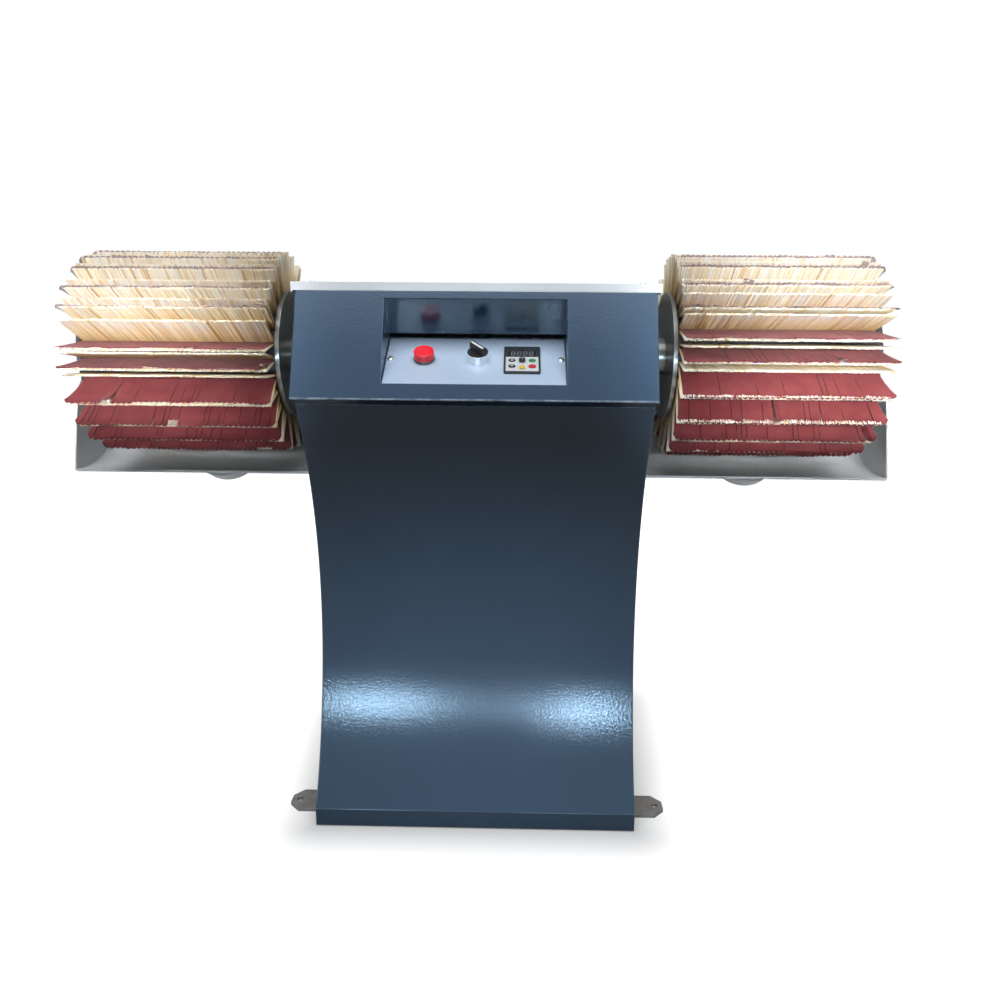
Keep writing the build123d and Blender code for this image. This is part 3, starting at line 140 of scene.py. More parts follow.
def number_between(tree, factor, low, high, start=0.3, end=0.7):
    """A factor spread over a range of numbers."""
    spread = add_node(tree, "MapRange")
    for socket, value in (("From Min", start), ("From Max", end), ("To Min", low), ("To Max", high)):
        spread.inputs[socket].default_value = value
    tree.links.new(factor, spread.inputs["Value"])
    return spread.outputs["Result"]


def maths(tree, operation, one, other):
    """Result of one step of arithmetic."""
    step = add_node(tree, "Math", operation=operation)
    join(tree, one, step.inputs[0])
    join(tree, other, step.inputs[1])
    return step.outputs["Value"]


def vector_maths(tree, operation, *values):
    """Result of one step of vector arithmetic."""
    step = add_node(tree, "VectorMath", operation=operation)
    for value, socket in zip(values, step.inputs):
        join(tree, value, socket)
    return step.outputs["Value" if operation in ("DOT_PRODUCT", "LENGTH") else "Vector"]


def distance_from_line(tree, spot):
    """Distance from the line along X through a spot."""
    offset = vector_maths(tree, "SUBTRACT", place_of(tree), spot)
    return vector_maths(tree, "LENGTH", vector_maths(tree, "MULTIPLY", offset, (0, 1, 1)))


NORMAL_SAMPLES = 6


def bump(tree, shader, height, distance, edge=0.0):
    """Surface relief from a height, over edges that are softened by a small radius."""
    relief = add_node(tree, "Bump", distance=distance, strength=1.0)
    tree.links.new(height, relief.inputs["Height"])
    if edge:
        soft = add_node(tree, "Bevel", samples=NORMAL_SAMPLES, radius=edge)
        tree.links.new(soft.outputs["Normal"], relief.inputs["Normal"])
    tree.links.new(relief.outputs["Normal"], shader.inputs["Normal"])


def blotched(name, low, high, grain, roughness, metallic=0.0, relief=0.00002, relief_grain=900.0, edge=0.0):
    """A finish whose colour and gloss drift a little, with a fine relief."""
    material, tree, shader = new_material(name, roughness[0], metallic)
    place = place_of(tree)
    drift = noise(tree, place, grain)
    feed(tree, shader, base_color=colour_between(tree, drift, [(0.3, low), (0.7, high)]),
         roughness=number_between(tree, drift, *roughness))
    bump(tree, shader, noise(tree, place, relief_grain, 2.0), relief, edge)
    return material, tree, shader


# Enamel
BLUE = [(0.3, (0.052, 0.092, 0.152)), (0.7, (0.059, 0.100, 0.163))]
# Lighter blue on edges and on the fold: partly wear, partly a painted highlight of the bends
EDGE_WEAR_AND_HIGHLIGHT_BLUE = (0.34, 0.42, 0.52, 1)
BLUE_GLOSS_TINT = (0.75, 0.88, 1.0, 1)
EDGE_WEAR_AND_HIGHLIGHT_RADIUS = 0.0011
FOLD_WEAR_AND_HIGHLIGHT_REACH = (0.0012, 0.0022)
PALE = [(0.3, (0.86, 0.885, 0.90)), (0.7, (0.89, 0.91, 0.925))]
# Painted shade: darker and bluer where ambient occlusion finds other parts near
PALE_PAINTED_SHADE = [(0.0, (0.20, 0.26, 0.28)), (0.42, (1.0, 1.0, 1.0))]
PAINTED_SHADE_REACH = 0.10


def fold_wear_and_highlight(tree):
    """1 on the fold under the head plate and 0 away from it; the fold is lightened there as wear and as a painted
    highlight.
    """
    front = min((vertex.co for vertex in nodes["head_front_panel"].data.vertices), key=lambda spot: spot.y)
    return number_between(tree, distance_from_line(tree, front), 1.0, 0.0, *FOLD_WEAR_AND_HIGHLIGHT_REACH)


def edge_wear_and_highlight(tree, place):
    """1 on sharp edges and on the fold of the head, broken up by wear, and 0 away from them; these are lightened
    as wear and as a painted highlight.
    """
    soft = add_node(tree, "Bevel", samples=NORMAL_SAMPLES, radius=EDGE_WEAR_AND_HIGHLIGHT_RADIUS)
    flat = add_node(tree, "NewGeometry")
    match = vector_maths(tree, "DOT_PRODUCT", soft.outputs["Normal"], flat.outputs["Normal"])
    edge = maths(tree, "MAXIMUM", number_between(tree, match, 1.0, 0.0, 0.93, 0.995), fold_wear_and_highlight(tree))
    return maths(tree, "MULTIPLY", edge, number_between(tree, noise(tree, place, 60.0), 0.25, 1.0, 0.35, 0.6))


def blue_paint(name, specular):
    """Slate blue enamel, lighter on its edges and fold as wear and as a painted highlight, with an orange-peel
    skin that breaks up the highlights.
    """
    material, tree, shader = new_material(name, 0.1, specular=specular)
    place = place_of(tree)
    base = colour_between(tree, noise(tree, place, 6.0), BLUE)
    speck = noise(tree, place, 1500.0, 1.0)
    # Edges and fold are lightened: partly wear, partly a painted highlight
    feed(tree, shader, base_color=mixed(tree, edge_wear_and_highlight(tree, place), base, EDGE_WEAR_AND_HIGHLIGHT_BLUE),
         roughness=number_between(tree, speck, 0.09, 0.16), specular_tint=BLUE_GLOSS_TINT)
    bump(tree, shader, noise(tree, place, 340.0, 2.0, 0.5), 0.00017, 0.0012)
    return material


def pale_paint():
    """Pale grey enamel, darkened by painted shade where the brushes nearly touch it."""
    material, tree, shader = new_material("pale_paint", 0.4, specular=0.4)
    place = place_of(tree)
    drift = noise(tree, place, 8.0)
    # Ambient occlusion darkens the colour in hollows and under the brushes: painted shade
    room = add_node(tree, "AmbientOcclusion", samples=NORMAL_SAMPLES, distance=PAINTED_SHADE_REACH)
    painted_shade = colour_between(tree, room.outputs["AO"], PALE_PAINTED_SHADE)
    feed(tree, shader, base_color=product(tree, colour_between(tree, drift, PALE), painted_shade),
         roughness=number_between(tree, drift, 0.32, 0.45))
    bump(tree, shader, noise(tree, place, 450.0, 2.0), 0.00012, 0.001)
    return material


def turned_steel(name, low, high, roughness):
    """Steel with fine rings about the spindle."""
    material, tree, shader = new_material(name, roughness[0], 1.0)
    ring = add_node(tree, "CombineXYZ")
    tree.links.new(distance_from_line(tree, spindle), ring.inputs["X"])
    rings = noise(tree, ring.outputs["Vector"], 2500.0, 3.0)
    smear = noise(tree, place_of(tree), 25.0)
    feed(tree, shader, base_color=colour_between(tree, smear, [(0.3, low), (0.7, high)]),
         roughness=number_between(tree, rings, *roughness), anisotropic=0.5)
    bump(tree, shader, rings, 0.00002, 0.0008)
    return material


# Brush materials: the tone of a strand, the place along a strip and the cut edges, which carry a painted shadow,
# are values of the points
FIBRE = [(0.0, (0.58, 0.36, 0.16)), (0.16, (0.82, 0.64, 0.40)), (0.5, (0.92, 0.82, 0.63)),
         (0.85, (0.95, 0.90, 0.78)), (1.0, (0.97, 0.94, 0.86))]
FIBRE_ROOT_SHADE = [(0.0, (0.58, 0.40, 0.20)), (0.5, (0.92, 0.80, 0.60)), (0.85, (1.0, 1.0, 1.0))]
GRIT = [(0.3, (0.172, 0.035, 0.037)), (0.7, (0.226, 0.053, 0.056))]
GRIT_WEAR = [(0.0, (0.75, 0.75, 0.75)), (0.8, (1.0, 1.0, 1.0)), (1.0, (0.72, 0.66, 0.66))]
# Painted shadow along the cut edges of the slits
CLOTH_SLIT_SHADOW = [(0.0, (1.0, 1.0, 1.0)), (0.8, (0.12, 0.09, 0.09))]
CLOTH_BACK = (0.26, 0.20, 0.18, 1)


def bristle_fibre():
    """Cream plant fibre: each strand has its own tone in ochre streaks, and painted shade makes it darker and more
    ochre towards the root.
    """
    material, tree, shader = new_material("bristle_fibre", 0.75, specular=0.2)
    colour = colour_between(tree, point_value(tree, "tone"), FIBRE)
    # Darker and more ochre towards the root: painted shade
    painted_root_shade = colour_between(tree, point_value(tree, "along"), FIBRE_ROOT_SHADE)
    feed(tree, shader, base_color=product(tree, colour, painted_root_shade), subsurface_weight=0.35,
         subsurface_radius=(0.006, 0.004, 0.002), subsurface_scale=1.0)
    bump(tree, shader, noise(tree, place_of(tree), 2500.0), 0.0001)
    return material


def turned_ahead(tree):
    """1 on faces that look towards growing angles about the spindle, and 0 on their other side."""
    place = add_node(tree, "TexCoord")
    offset = vector_maths(tree, "SUBTRACT", place.outputs["Object"], spindle)
    around = vector_maths(tree, "CROSS_PRODUCT", (1, 0, 0), offset)
    facing = vector_maths(tree, "DOT_PRODUCT", around, place.outputs["Normal"])
    return number_between(tree, facing, 0.0, 1.0, -0.03, 0.03)


def abrasive_cloth():
    """Red-brown grit on a grey-brown backing, with worn tips, and darkened along the cut edges of the slits as a
    painted shadow.
    """
    material, tree, shader = new_material("abrasive_cloth", 0.8, specular=0.1)
    place = place_of(tree)
    grit = noise(tree, place, 1800.0, 2.0)
    base = colour_between(tree, noise(tree, place, 35.0), GRIT)
    wear = colour_between(tree, point_value(tree, "along"), GRIT_WEAR)
    backed = mixed(tree, turned_ahead(tree), product(tree, base, wear), CLOTH_BACK)
    # The cut edges of the slits are darkened: a painted shadow
    slit_shadow = colour_between(tree, point_value(tree, "cut"), CLOTH_SLIT_SHADOW)
    feed(tree, shader, base_color=product(tree, backed, slit_shadow),
         roughness=number_between(tree, grit, 0.6, 0.95), sheen_weight=0.05, sheen_roughness=0.5)
    bump(tree, shader, grit, 0.00025)
    return material


def glossy_plastic(name, low, high, roughness=0.25, coat=0.3, glow=0.0):
    """Moulded plastic with a thin clear surface, lit a little from inside if it glows."""
    material, tree, shader = blotched(name, low, high, 90.0, (roughness, roughness + 0.1), edge=0.0003)
    feed(tree, shader, coat_weight=coat, coat_roughness=0.08,
         emission_color=(*high, 1), emission_strength=glow)
    return material


# One finish for each material slot of the record, and three for the marks and the crosses of the screws
PLAIN_FINISHES = {
    "panel_paint": dict(low=(0.45, 0.555, 0.71), high=(0.48, 0.585, 0.74), grain=12.0, roughness=(0.2, 0.3),
                        relief=0.00006, relief_grain=500.0, edge=0.0006),
    "floor_bar_steel": dict(low=(0.13, 0.12, 0.11), high=(0.23, 0.215, 0.20), grain=60.0,
                            roughness=(0.5, 0.75), metallic=0.6, relief=0.0002, relief_grain=300.0,
                            edge=0.001),
    "black_steel": dict(low=(0.012, 0.012, 0.013), high=(0.025, 0.025, 0.027), grain=50.0,
                        roughness=(0.45, 0.6), edge=0.0006),
    "zinc": dict(low=(0.60, 0.60, 0.57), high=(0.72, 0.71, 0.68), grain=300.0, roughness=(0.25, 0.4),
                 metallic=1.0, edge=0.0003),
    "frame_paint": dict(low=(0.10, 0.11, 0.13), high=(0.13, 0.145, 0.165), grain=20.0,
                        roughness=(0.55, 0.7)),
    "bearing_iron": dict(low=(0.14, 0.17, 0.20), high=(0.18, 0.21, 0.24), grain=40.0, roughness=(0.5, 0.65),
                         relief=0.0004, relief_grain=350.0),
    "motor_paint": dict(low=(0.22, 0.25, 0.28), high=(0.26, 0.29, 0.32), grain=30.0, roughness=(0.4, 0.55),
                        relief=0.0003, relief_grain=350.0),
    "pulley_iron": dict(low=(0.20, 0.20, 0.21), high=(0.28, 0.28, 0.29), grain=60.0, roughness=(0.4, 0.55),
                        metallic=0.8),
    "belt_rubber": dict(low=(0.012, 0.012, 0.012), high=(0.022, 0.022, 0.022), grain=80.0,
                        roughness=(0.7, 0.9)),
    "black_plastic": dict(low=(0.008, 0.008, 0.009), high=(0.016, 0.016, 0.017), grain=120.0,
                          roughness=(0.32, 0.45), relief=0.00003, relief_grain=2500.0, edge=0.0004),
    "grey_plastic": dict(low=(0.56, 0.59, 0.60), high=(0.62, 0.645, 0.655), grain=60.0,
                         roughness=(0.4, 0.5), edge=0.0003),
    "lamp_collar": dict(low=(0.10, 0.095, 0.09), high=(0.16, 0.15, 0.145), grain=200.0,
                        roughness=(0.3, 0.45), metallic=1.0, edge=0.0004),
    "chrome_bezel": dict(low=(0.78, 0.79, 0.80), high=(0.86, 0.87, 0.88), grain=40.0,
                         roughness=(0.06, 0.14), metallic=1.0, edge=0.0005),
    "mark_white": dict(low=(0.78, 0.78, 0.76), high=(0.86, 0.86, 0.85), grain=200.0, roughness=(0.4, 0.5)),
    "segment_grey": dict(low=(0.22, 0.22, 0.225), high=(0.27, 0.27, 0.275), grain=300.0,
                         roughness=(0.3, 0.4)),
    # Dark crosses that stand for the shade inside screw recesses: painted shade
    "painted_recess_shade": dict(low=(0.03, 0.03, 0.03), high=(0.06, 0.06, 0.058), grain=400.0, roughness=(0.5, 0.7),
                        metallic=0.6),
}
GLOSSY_FINISHES = {
    "display_window": dict(low=(0.006, 0.006, 0.007), high=(0.010, 0.010, 0.011), roughness=0.08, coat=1.0),
    "green_key": dict(low=(0.02, 0.22, 0.06), high=(0.03, 0.28, 0.08)),
    "red_key": dict(low=(0.55, 0.015, 0.015), high=(0.64, 0.022, 0.02)),
    "yellow_key": dict(low=(0.72, 0.48, 0.03), high=(0.80, 0.55, 0.05)),
    "red_lens": dict(low=(0.80, 0.006, 0.012), high=(0.88, 0.008, 0.018), roughness=0.2, coat=0.15,
                     glow=0.14),
}
finishes = {name: blotched(name, **values)[0] for name, values in PLAIN_FINISHES.items()}
for name, values in GLOSSY_FINISHES.items():
    finishes[name] = glossy_plastic(name, **values)
finishes["blue_paint"] = blue_paint("blue_paint", specular=0.16)
finishes["pale_paint"] = pale_paint()
finishes["bright_steel"] = turned_steel("bright_steel", (0.17, 0.17, 0.16), (0.23, 0.23, 0.22), (0.22, 0.40))
finishes["bearing_steel"] = turned_steel("bearing_steel", (0.5, 0.5, 0.5), (0.6, 0.6, 0.6), (0.2, 0.35))
finishes["bristle"] = bristle_fibre()
finishes["abrasive_cloth"] = abrasive_cloth()

for subpart in frame["record"]["subparts"]:
    cad_node = nodes[subpart["node"]]
    cad_node.data.materials.clear()
    cad_node.data.materials.append(finishes[subpart["material_slot"]])
# The enamel is glossier inside the recess, where no hand or dust has dulled it
nodes["control_recess"].data.materials[0] = blue_paint("recess_paint", specular=0.8)


# Mesh helpers
def mesh_piece(name, points, faces, material, body, smooth=False):
    """A mesh object in the shared frame that rides on a body."""
    mesh = bpy.data.meshes.new(name)
    mesh.from_pydata([tuple(point) for point in points], [], faces)
    mesh.materials.append(material)
    mesh.polygons.foreach_set("use_smooth", [smooth] * len(mesh.polygons))
    mesh.update()
    piece = bpy.data.objects.new(name, mesh)
    bpy.context.scene.collection.objects.link(piece)
    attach(piece, body)
    return piece


def point_values(piece, name, values):
    """One number for each point of a piece, for its material to read."""
    attribute = piece.data.attributes.new(name, "FLOAT", "POINT")
    attribute.data.foreach_set("value", values)


# Each slot of a brush holds a free bundle of bristles, a sheet of abrasive cloth and a bundle that backs
# the cloth. A strip runs straight from the mouth of its slot, and its lean is the angle about the spindle
# by which its tip stands past that of a strip at the slant of the slots.
STRIP_COUNT = 22
STRIP_PHASE = radians(2.5)
STRIP_SLANT = radians(34)
LEAN_SPREAD = 1.0
END_INSET = 0.003
CLOTH_RADIUS = 0.1462
FREE_RADIUS = 0.1456
ROOT_RADIUS = 0.078
FREE_ASIDE = -0.0032
CLOTH_ASIDE = -0.0010
BACKING_ASIDE = 0.0013
hub_low, hub_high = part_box("right_brush_hub")
HUB_RADIUS = (hub_high.z - hub_low.z) / 2
STRIP_START = hub_low.x + END_INSET
STRIP_LENGTH = hub_high.x - hub_low.x - 2 * END_INSET


def strip_length(radius, slant=STRIP_SLANT):
    """Length along a slanted strip from the mouth of its slot to a radius."""
    return sqrt(radius ** 2 - (HUB_RADIUS * sin(slant)) ** 2) - HUB_RADIUS * cos(slant)


def turn_at(slant, radius):
    """Angle about the spindle between the mouth of a slot and its strip at a radius."""
    out = strip_length(radius, slant)
    return atan2(out * sin(slant), HUB_RADIUS + out * cos(slant))


def slant_to(turn):
    """Slant of a straight strip whose tip stands at an angle from the mouth of its slot."""
    return atan2(CLOTH_RADIUS * sin(turn), CLOTH_RADIUS * cos(turn) - HUB_RADIUS)


FULL_LENGTH = strip_length(CLOTH_RADIUS)


def strip_point(side, angle, lean, radius, aside, along):
    """Point of a brush strip: its lean at the tip, radius, offset off its face and place along X."""
    slant = slant_to(turn_at(STRIP_SLANT, CLOTH_RADIUS) + lean)
    turn = angle + turn_at(slant, radius)
    facing = angle + slant
    return (side * along,
            spindle.y + radius * cos(turn) - aside * sin(facing),
            spindle.z + radius * sin(turn) + aside * cos(facing))


def strip_angles():
    """Angles of the slots of a brush."""
    return [STRIP_PHASE + 2 * pi * strip / STRIP_COUNT for strip in range(STRIP_COUNT)]


def strip_leans(seed, usual, seen):
    """Lean of each strip of a brush; the strips seen in the photo have their own, in degrees."""
    dice = random.Random(seed)
    return [radians(seen.get(strip, usual + dice.gauss(0, LEAN_SPREAD))) for strip in range(STRIP_COUNT)]


# Bristles: each bundle has a fine face and a coarser core, with ragged ends that spread past the hub
FACE_STRANDS = 230
CORE_STRANDS = 150
BUNDLE_HALF = 0.0008
STRAND_SECTION = ((-0.5, -0.3), (0.5, -0.3), (0.1, 0.4))
STRAND_OVERLAP = 1.15
STRAND_WIDTHS = (0.8, 1.2)
STRAND_PLACES = (0.25, 0.75)
TIP_SPREAD = 0.0004
TIP_DEPTH = 0.0002
STRAND_FLARE = (0.005, 0.003)
RAGGED_END = 0.0003
LENGTH_STEPS = 14
SHORT_CHANCE = 0.015
SHORT_BY = (0.002, 0.006)
STREAK = 0.0030
STREAK_TONES = 0.2
STRAND_TONES = 0.09


def make_bristles(name, cad_node, side, bundles, usual_tone, seed):
    """All the strands of one brush as one piece, from the leans, offset and radius of each set of bundles."""
    dice = random.Random(seed)
    points = []
    faces = []
    tones = []
    shares = []

    def strand(angle, lean, root, tip, aside, wide, end, tone):
        """One three-sided strand from its root to its cut tip."""
        base = len(points)
        flip = dice.choice((-1, 1))
        for radius, middle, offset, share in ((ROOT_RADIUS, root, aside[0], 0.0), (end, tip, aside[1], 1.0)):
            for step, depth in STRAND_SECTION:
                cut = radius + share * dice.uniform(-RAGGED_END, RAGGED_END)
                points.append(strip_point(side, angle, lean, cut, offset + depth * flip * wide,
                                          middle + step * wide))
                tones.append(tone)
                shares.append(share)
        for corner in range(3):
            following = (corner + 1) % 3
            faces.append((base + corner, base + following, base + 3 + following, base + 3 + corner))
        faces.append((base + 3, base + 4, base + 5))

    def bundle(angle, lean, middle, radius):
        """One bundle along a strip."""
        lengths = [dice.gauss(0, RAGGED_END) for _ in range(LENGTH_STEPS)]
        streaks = [dice.gauss(usual_tone, STREAK_TONES) for _ in range(int(STRIP_LENGTH / STREAK) + 2)]
        for count, offset in ((FACE_STRANDS, BUNDLE_HALF), (CORE_STRANDS, -BUNDLE_HALF)):
            for index in range(count):
                share = (index + dice.uniform(*STRAND_PLACES)) / count
                root = STRIP_START + share * STRIP_LENGTH
                reach = 2 * share - 1
                tip = root + STRAND_FLARE[reach > 0] * reach * abs(reach) + dice.gauss(0, TIP_SPREAD)
                end = radius - abs(dice.gauss(0, TIP_SPREAD)) + lengths[int(share * (LENGTH_STEPS - 1))]
                if dice.random() < SHORT_CHANCE:
                    end -= dice.uniform(*SHORT_BY)
                tone = streaks[int(share * STRIP_LENGTH / STREAK)] + dice.gauss(0, STRAND_TONES)
                wide = STRAND_OVERLAP * STRIP_LENGTH / count * dice.uniform(*STRAND_WIDTHS)
                aside = (middle + 0.5 * offset, middle + offset + dice.gauss(0, TIP_DEPTH))
                strand(angle, lean, root, tip, aside, wide, end, min(1.0, max(0.0, tone)))

    for leans, middle, radius in bundles:
        for angle, lean in zip(strip_angles(), leans):
            bundle(angle, lean, middle, radius)
    piece = mesh_piece(name, points, faces, finishes["bristle"], "spindle")
    point_values(piece, "tone", tones)
    point_values(piece, "along", shares)
    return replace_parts(piece, cad_node)


# Abrasive cloth: one sheet on each strip, scalloped at the tip and slit into fingers
SCALLOPS = 38
SCALLOP_DEPTH = 0.0022
SCALLOP_PLACES = (0.14, 0.32, 0.5, 0.68, 0.86)
FINGER_WIDTHS = (1, 1, 1, 2, 2, 3, 4, 5, 7)
SHEET_SHARES = (-0.12, 0.0, 0.3, 0.55, 0.75, 0.9, 1.0)
SHEET_FLARE = (0.003, 0.009)
CORNER_FLARES = ((-0.002, 0.001), (0.000, 0.005))
CORNER_POWER = 9
CORNER_ROUND = 0.007
CORNER_START = 0.94
CUT_EDGE = 0.11
FINGER_LENGTHS = 0.0004
FINGER_BENDS = 0.0008
FINGER_TWISTS = 0.0006
NARROW = 3
BENT_CHANCE = 0.04
BENT_BY = (0.004, 0.012)
TORN_CHANCE = 0.03
TORN_BY = (0.008, 0.020)
WORN_BY = (0.003, 0.005)
SLIT_STARTS = (0.15, 0.75)
SLIT_OPENING = 0.0002
LEAST_LOOSE = 0.05
BACKING_GAP = 0.0002
CLOTH_THICKNESS = 0.0008


def slit_plan(dice):
    """Slits of a sheet, by scallop: how far up the sheet each one starts and half its opening at the tip."""
    plan = {0: (1.0, 0.0)}
    place = 0
    while place < SCALLOPS:
        place = min(SCALLOPS, place + dice.choice(FINGER_WIDTHS))
        plan[place] = (dice.uniform(*SLIT_STARTS), dice.uniform(0.0, SLIT_OPENING))
    plan[SCALLOPS] = (1.0, 0.0)
    return plan


def finger_columns(first, last):
    """Places across a finger, in scallops: its two cut edges, and the notches and round of each scallop."""
    inner = [scallop + place for scallop in range(first, last) for place in (0, *SCALLOP_PLACES)]
    return [first, first + CUT_EDGE, *inner[1:], last - CUT_EDGE, last]


def notch_depth(place):
    """Depth of the scalloped edge at a place, from 0 on a crest to 1 in a notch."""
    return abs(2 * (place % 1) - 1) ** 3


def make_cloth(name, cad_node, side, leans, seed, wear):
    """All the abrasive sheets of one brush as one piece."""
    dice = random.Random(seed)
    points = []
    faces = []
    shares = []
    slit_shadow_marks = []
    known = {}

    def put(angle, lean, radius, aside, along, cut):
        """Number of one cloth point; points at the same place are one."""
        spot = strip_point(side, angle, lean, radius, CLOTH_ASIDE + aside, along)
        key = tuple(round(value, 6) for value in spot)
        if key not in known:
            known[key] = len(points)
            points.append(spot)
            shares.append(max(0.0, strip_length(radius) / FULL_LENGTH))
            slit_shadow_marks.append(cut)
        return known[key]

    def finger(angle, lean, first, last, plan, worn, corners):
        """One finger of a sheet between two slits."""
        tip = CLOTH_RADIUS - worn + dice.gauss(0, FINGER_LENGTHS)
        bend = -abs(dice.gauss(0, FINGER_BENDS))
        if last - first < NARROW and dice.random() < BENT_CHANCE:
            bend = -dice.uniform(*BENT_BY)
        twist = dice.gauss(0, FINGER_TWISTS)
        rows = []
        for share in SHEET_SHARES:
            row = []
            out = max(0.0, share) ** 2
            for place in finger_columns(first, last):
                across = (place - first) / (last - first)
                start = plan[first][0] + (plan[last][0] - plan[first][0]) * across
                loose = max(0.0, (share - start) / max(LEAST_LOOSE, 1 - start))
                opening = (plan[first][1] * (1 - across) - plan[last][1] * across) * loose
                reach = 2 * place / SCALLOPS - 1
                corner = corners[reach > 0] * abs(reach) ** CORNER_POWER * out
                past = max(0.0, (abs(reach) - CORNER_START) / (1 - CORNER_START))
                rounding = CORNER_ROUND * past ** 2 * out
                notch = SCALLOP_DEPTH * notch_depth(place) if share == 1.0 else 0.0
                radius = HUB_RADIUS + (tip - HUB_RADIUS) * share - notch - rounding
                aside = (bend + twist * (2 * across - 1)) * loose ** 2
                along = STRIP_START + place / SCALLOPS * STRIP_LENGTH + opening
                flare = SHEET_FLARE[reach > 0] * reach * abs(reach) * out
                along += flare + (corner if reach > 0 else -corner)
                # Points on the edges of an open slit carry a painted shadow
                cut = 1.0 if loose > 0 and place in (first, last) and 0 < place < SCALLOPS else 0.0
                row.append(put(angle, lean, radius, min(aside, BACKING_GAP), along, cut))
            rows.append(row)
        for lower, upper in zip(rows, rows[1:]):
            for column in range(len(row) - 1):
                faces.append((lower[column], lower[column + 1], upper[column + 1], upper[column]))

    for angle, lean in zip(strip_angles(), leans):
        plan = slit_plan(dice)
        places = sorted(plan)
        corners = [dice.uniform(*flare) for flare in CORNER_FLARES]
        run = sorted(dice.uniform(0, SCALLOPS) for _ in range(2)) if dice.random() < wear else (0, 0)
        run_depth = dice.uniform(*WORN_BY)
        for first, last in zip(places, places[1:]):
            worn = run_depth if run[0] <= first < run[1] else 0.0
            if last - first < NARROW and dice.random() < TORN_CHANCE:
                worn = dice.uniform(*TORN_BY)
            finger(angle, lean, first, last, plan, worn, corners)
    piece = mesh_piece(name, points, faces, finishes["abrasive_cloth"], "spindle",
                       smooth=True)
    point_values(piece, "along", shares)
    point_values(piece, "cut", slit_shadow_marks)
    thick = piece.modifiers.new("thickness", "SOLIDIFY")
    thick.thickness = CLOTH_THICKNESS
    thick.offset = 0.0
    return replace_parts(piece, cad_node)


def make_brush(hand, side, cloth_leans, free_leans, backing_radius, usual_tone, wear, seed):
    """Bristles and cloth of one brush."""
    bundles = ((free_leans, FREE_ASIDE, FREE_RADIUS), (cloth_leans, BACKING_ASIDE, backing_radius))
    make_bristles(hand + "_bristles", hand + "_bristle_strips", side, bundles, usual_tone, seed)
    make_cloth(hand + "_abrasive_cloth", hand + "_abrasive_flaps", side, cloth_leans, seed + 1, wear)


# Leans in degrees of the strips that the photo shows, by the number of their slot
RIGHT_CLOTH = {6: 1.6, 7: 1.5, 8: 0.1, 9: 1.2, 10: -3.0, 11: 0.0, 12: 0.1, 13: -1.7, 14: -0.6}
RIGHT_FREE = {4: -8, 5: -8, 6: -2, 7: 0, 8: -7, 9: -11, 10: -10, 11: -14, 12: -16, 13: -16, 14: -16, 15: -16}
LEFT_CLOTH = {5: -8.0, 6: -5.1, 7: -8.9, 8: -9.9, 9: -14.2, 10: -7.4, 11: -13.2, 12: -9.3, 13: -10.0,
              14: -11.5, 15: -6.0}
LEFT_FREE = {5: -10.0, 6: -7.5, 7: -11.0, 8: -13.5, 9: -17.5, 10: -21.6, 11: -20.6, 12: -24.9, 13: -24.6,
             14: -25.2, 15: -26.8, 16: -21.0}
make_brush("right", 1, strip_leans(3, 0.0, RIGHT_CLOTH), strip_leans(5, -13.5, RIGHT_FREE),
           backing_radius=0.1443, usual_tone=0.60, wear=0.15, seed=23)
make_brush("left", -1, strip_leans(4, -8.0, LEFT_CLOTH), strip_leans(6, -21.5, LEFT_FREE),
           backing_radius=0.1449, usual_tone=0.46, wear=0.7, seed=11)


# Marks on the control devices
def panel_extent(cad_node):
    """Middle of the top of a panel device, and half its size across the panel."""
    spots = [vertex.co for vertex in nodes[cad_node].data.vertices]
    across = [spot.dot(panel_right) for spot in spots]
    up = [spot.dot(panel_up) for spot in spots]
    top = max(spot.dot(panel_normal) for spot in spots)
    middle = ((max(across) + min(across)) / 2, (max(up) + min(up)) / 2)
    spot = panel_right * middle[0] + panel_up * middle[1] + panel_normal * top
    return spot, (max(across) - min(across)) / 2


MARK_HEIGHT = 0.00012


def panel_mark(name, origin, outlines, material, body):
    """Flat raised marks on a panel device, each given as an outline across and up the panel."""
    points = []
    faces = []
    for outline in outlines:
        base = len(points)
        count = len(outline)
        for rise in (0.0, MARK_HEIGHT):
            points += [origin + panel_right * x + panel_up * y + panel_normal * rise for x, y in outline]
        faces.append(tuple(range(base + count, base + 2 * count)))
        faces += [(base + k, base + (k + 1) % count, base + count + (k + 1) % count, base + count + k)
                  for k in range(count)]
    mesh_piece(name, points, faces, material, body)


DIGITS = 4
DIGIT_PITCH = 0.0084
DIGIT_SIZE = (0.0052, 0.0090)
DIGIT_SLANT = 0.12
SEGMENT = 0.0009


def digit_outlines(middle):
    """Seven segments of one slanted display digit."""
    wide, tall = DIGIT_SIZE[0] / 2, DIGIT_SIZE[1] / 2
    half = SEGMENT / 2
    outlines = []
    for y in (-tall, 0, tall):
        outlines.append([(-wide + half, y), (-wide + 2 * half, y - half), (wide - 2 * half, y - half),
                         (wide - half, y), (wide - 2 * half, y + half), (-wide + 2 * half, y + half)])
    for x in (-wide, wide):
        for low, high in ((-tall, 0), (0, tall)):
            outlines.append([(x, low + half), (x + half, low + 2 * half), (x + half, high - 2 * half),
                             (x, high - half), (x - half, high - 2 * half), (x - half, low + 2 * half)])
    return [[(middle + x + DIGIT_SLANT * y, y) for x, y in outline] for outline in outlines]


display_top, _ = panel_extent("keypad_display")
digit_places = [(digit - (DIGITS - 1) / 2) * DIGIT_PITCH for digit in range(DIGITS)]
digits = [outline for place in digit_places for outline in digit_outlines(place)]
panel_mark("display_digits", display_top, digits, finishes["segment_grey"], "column")

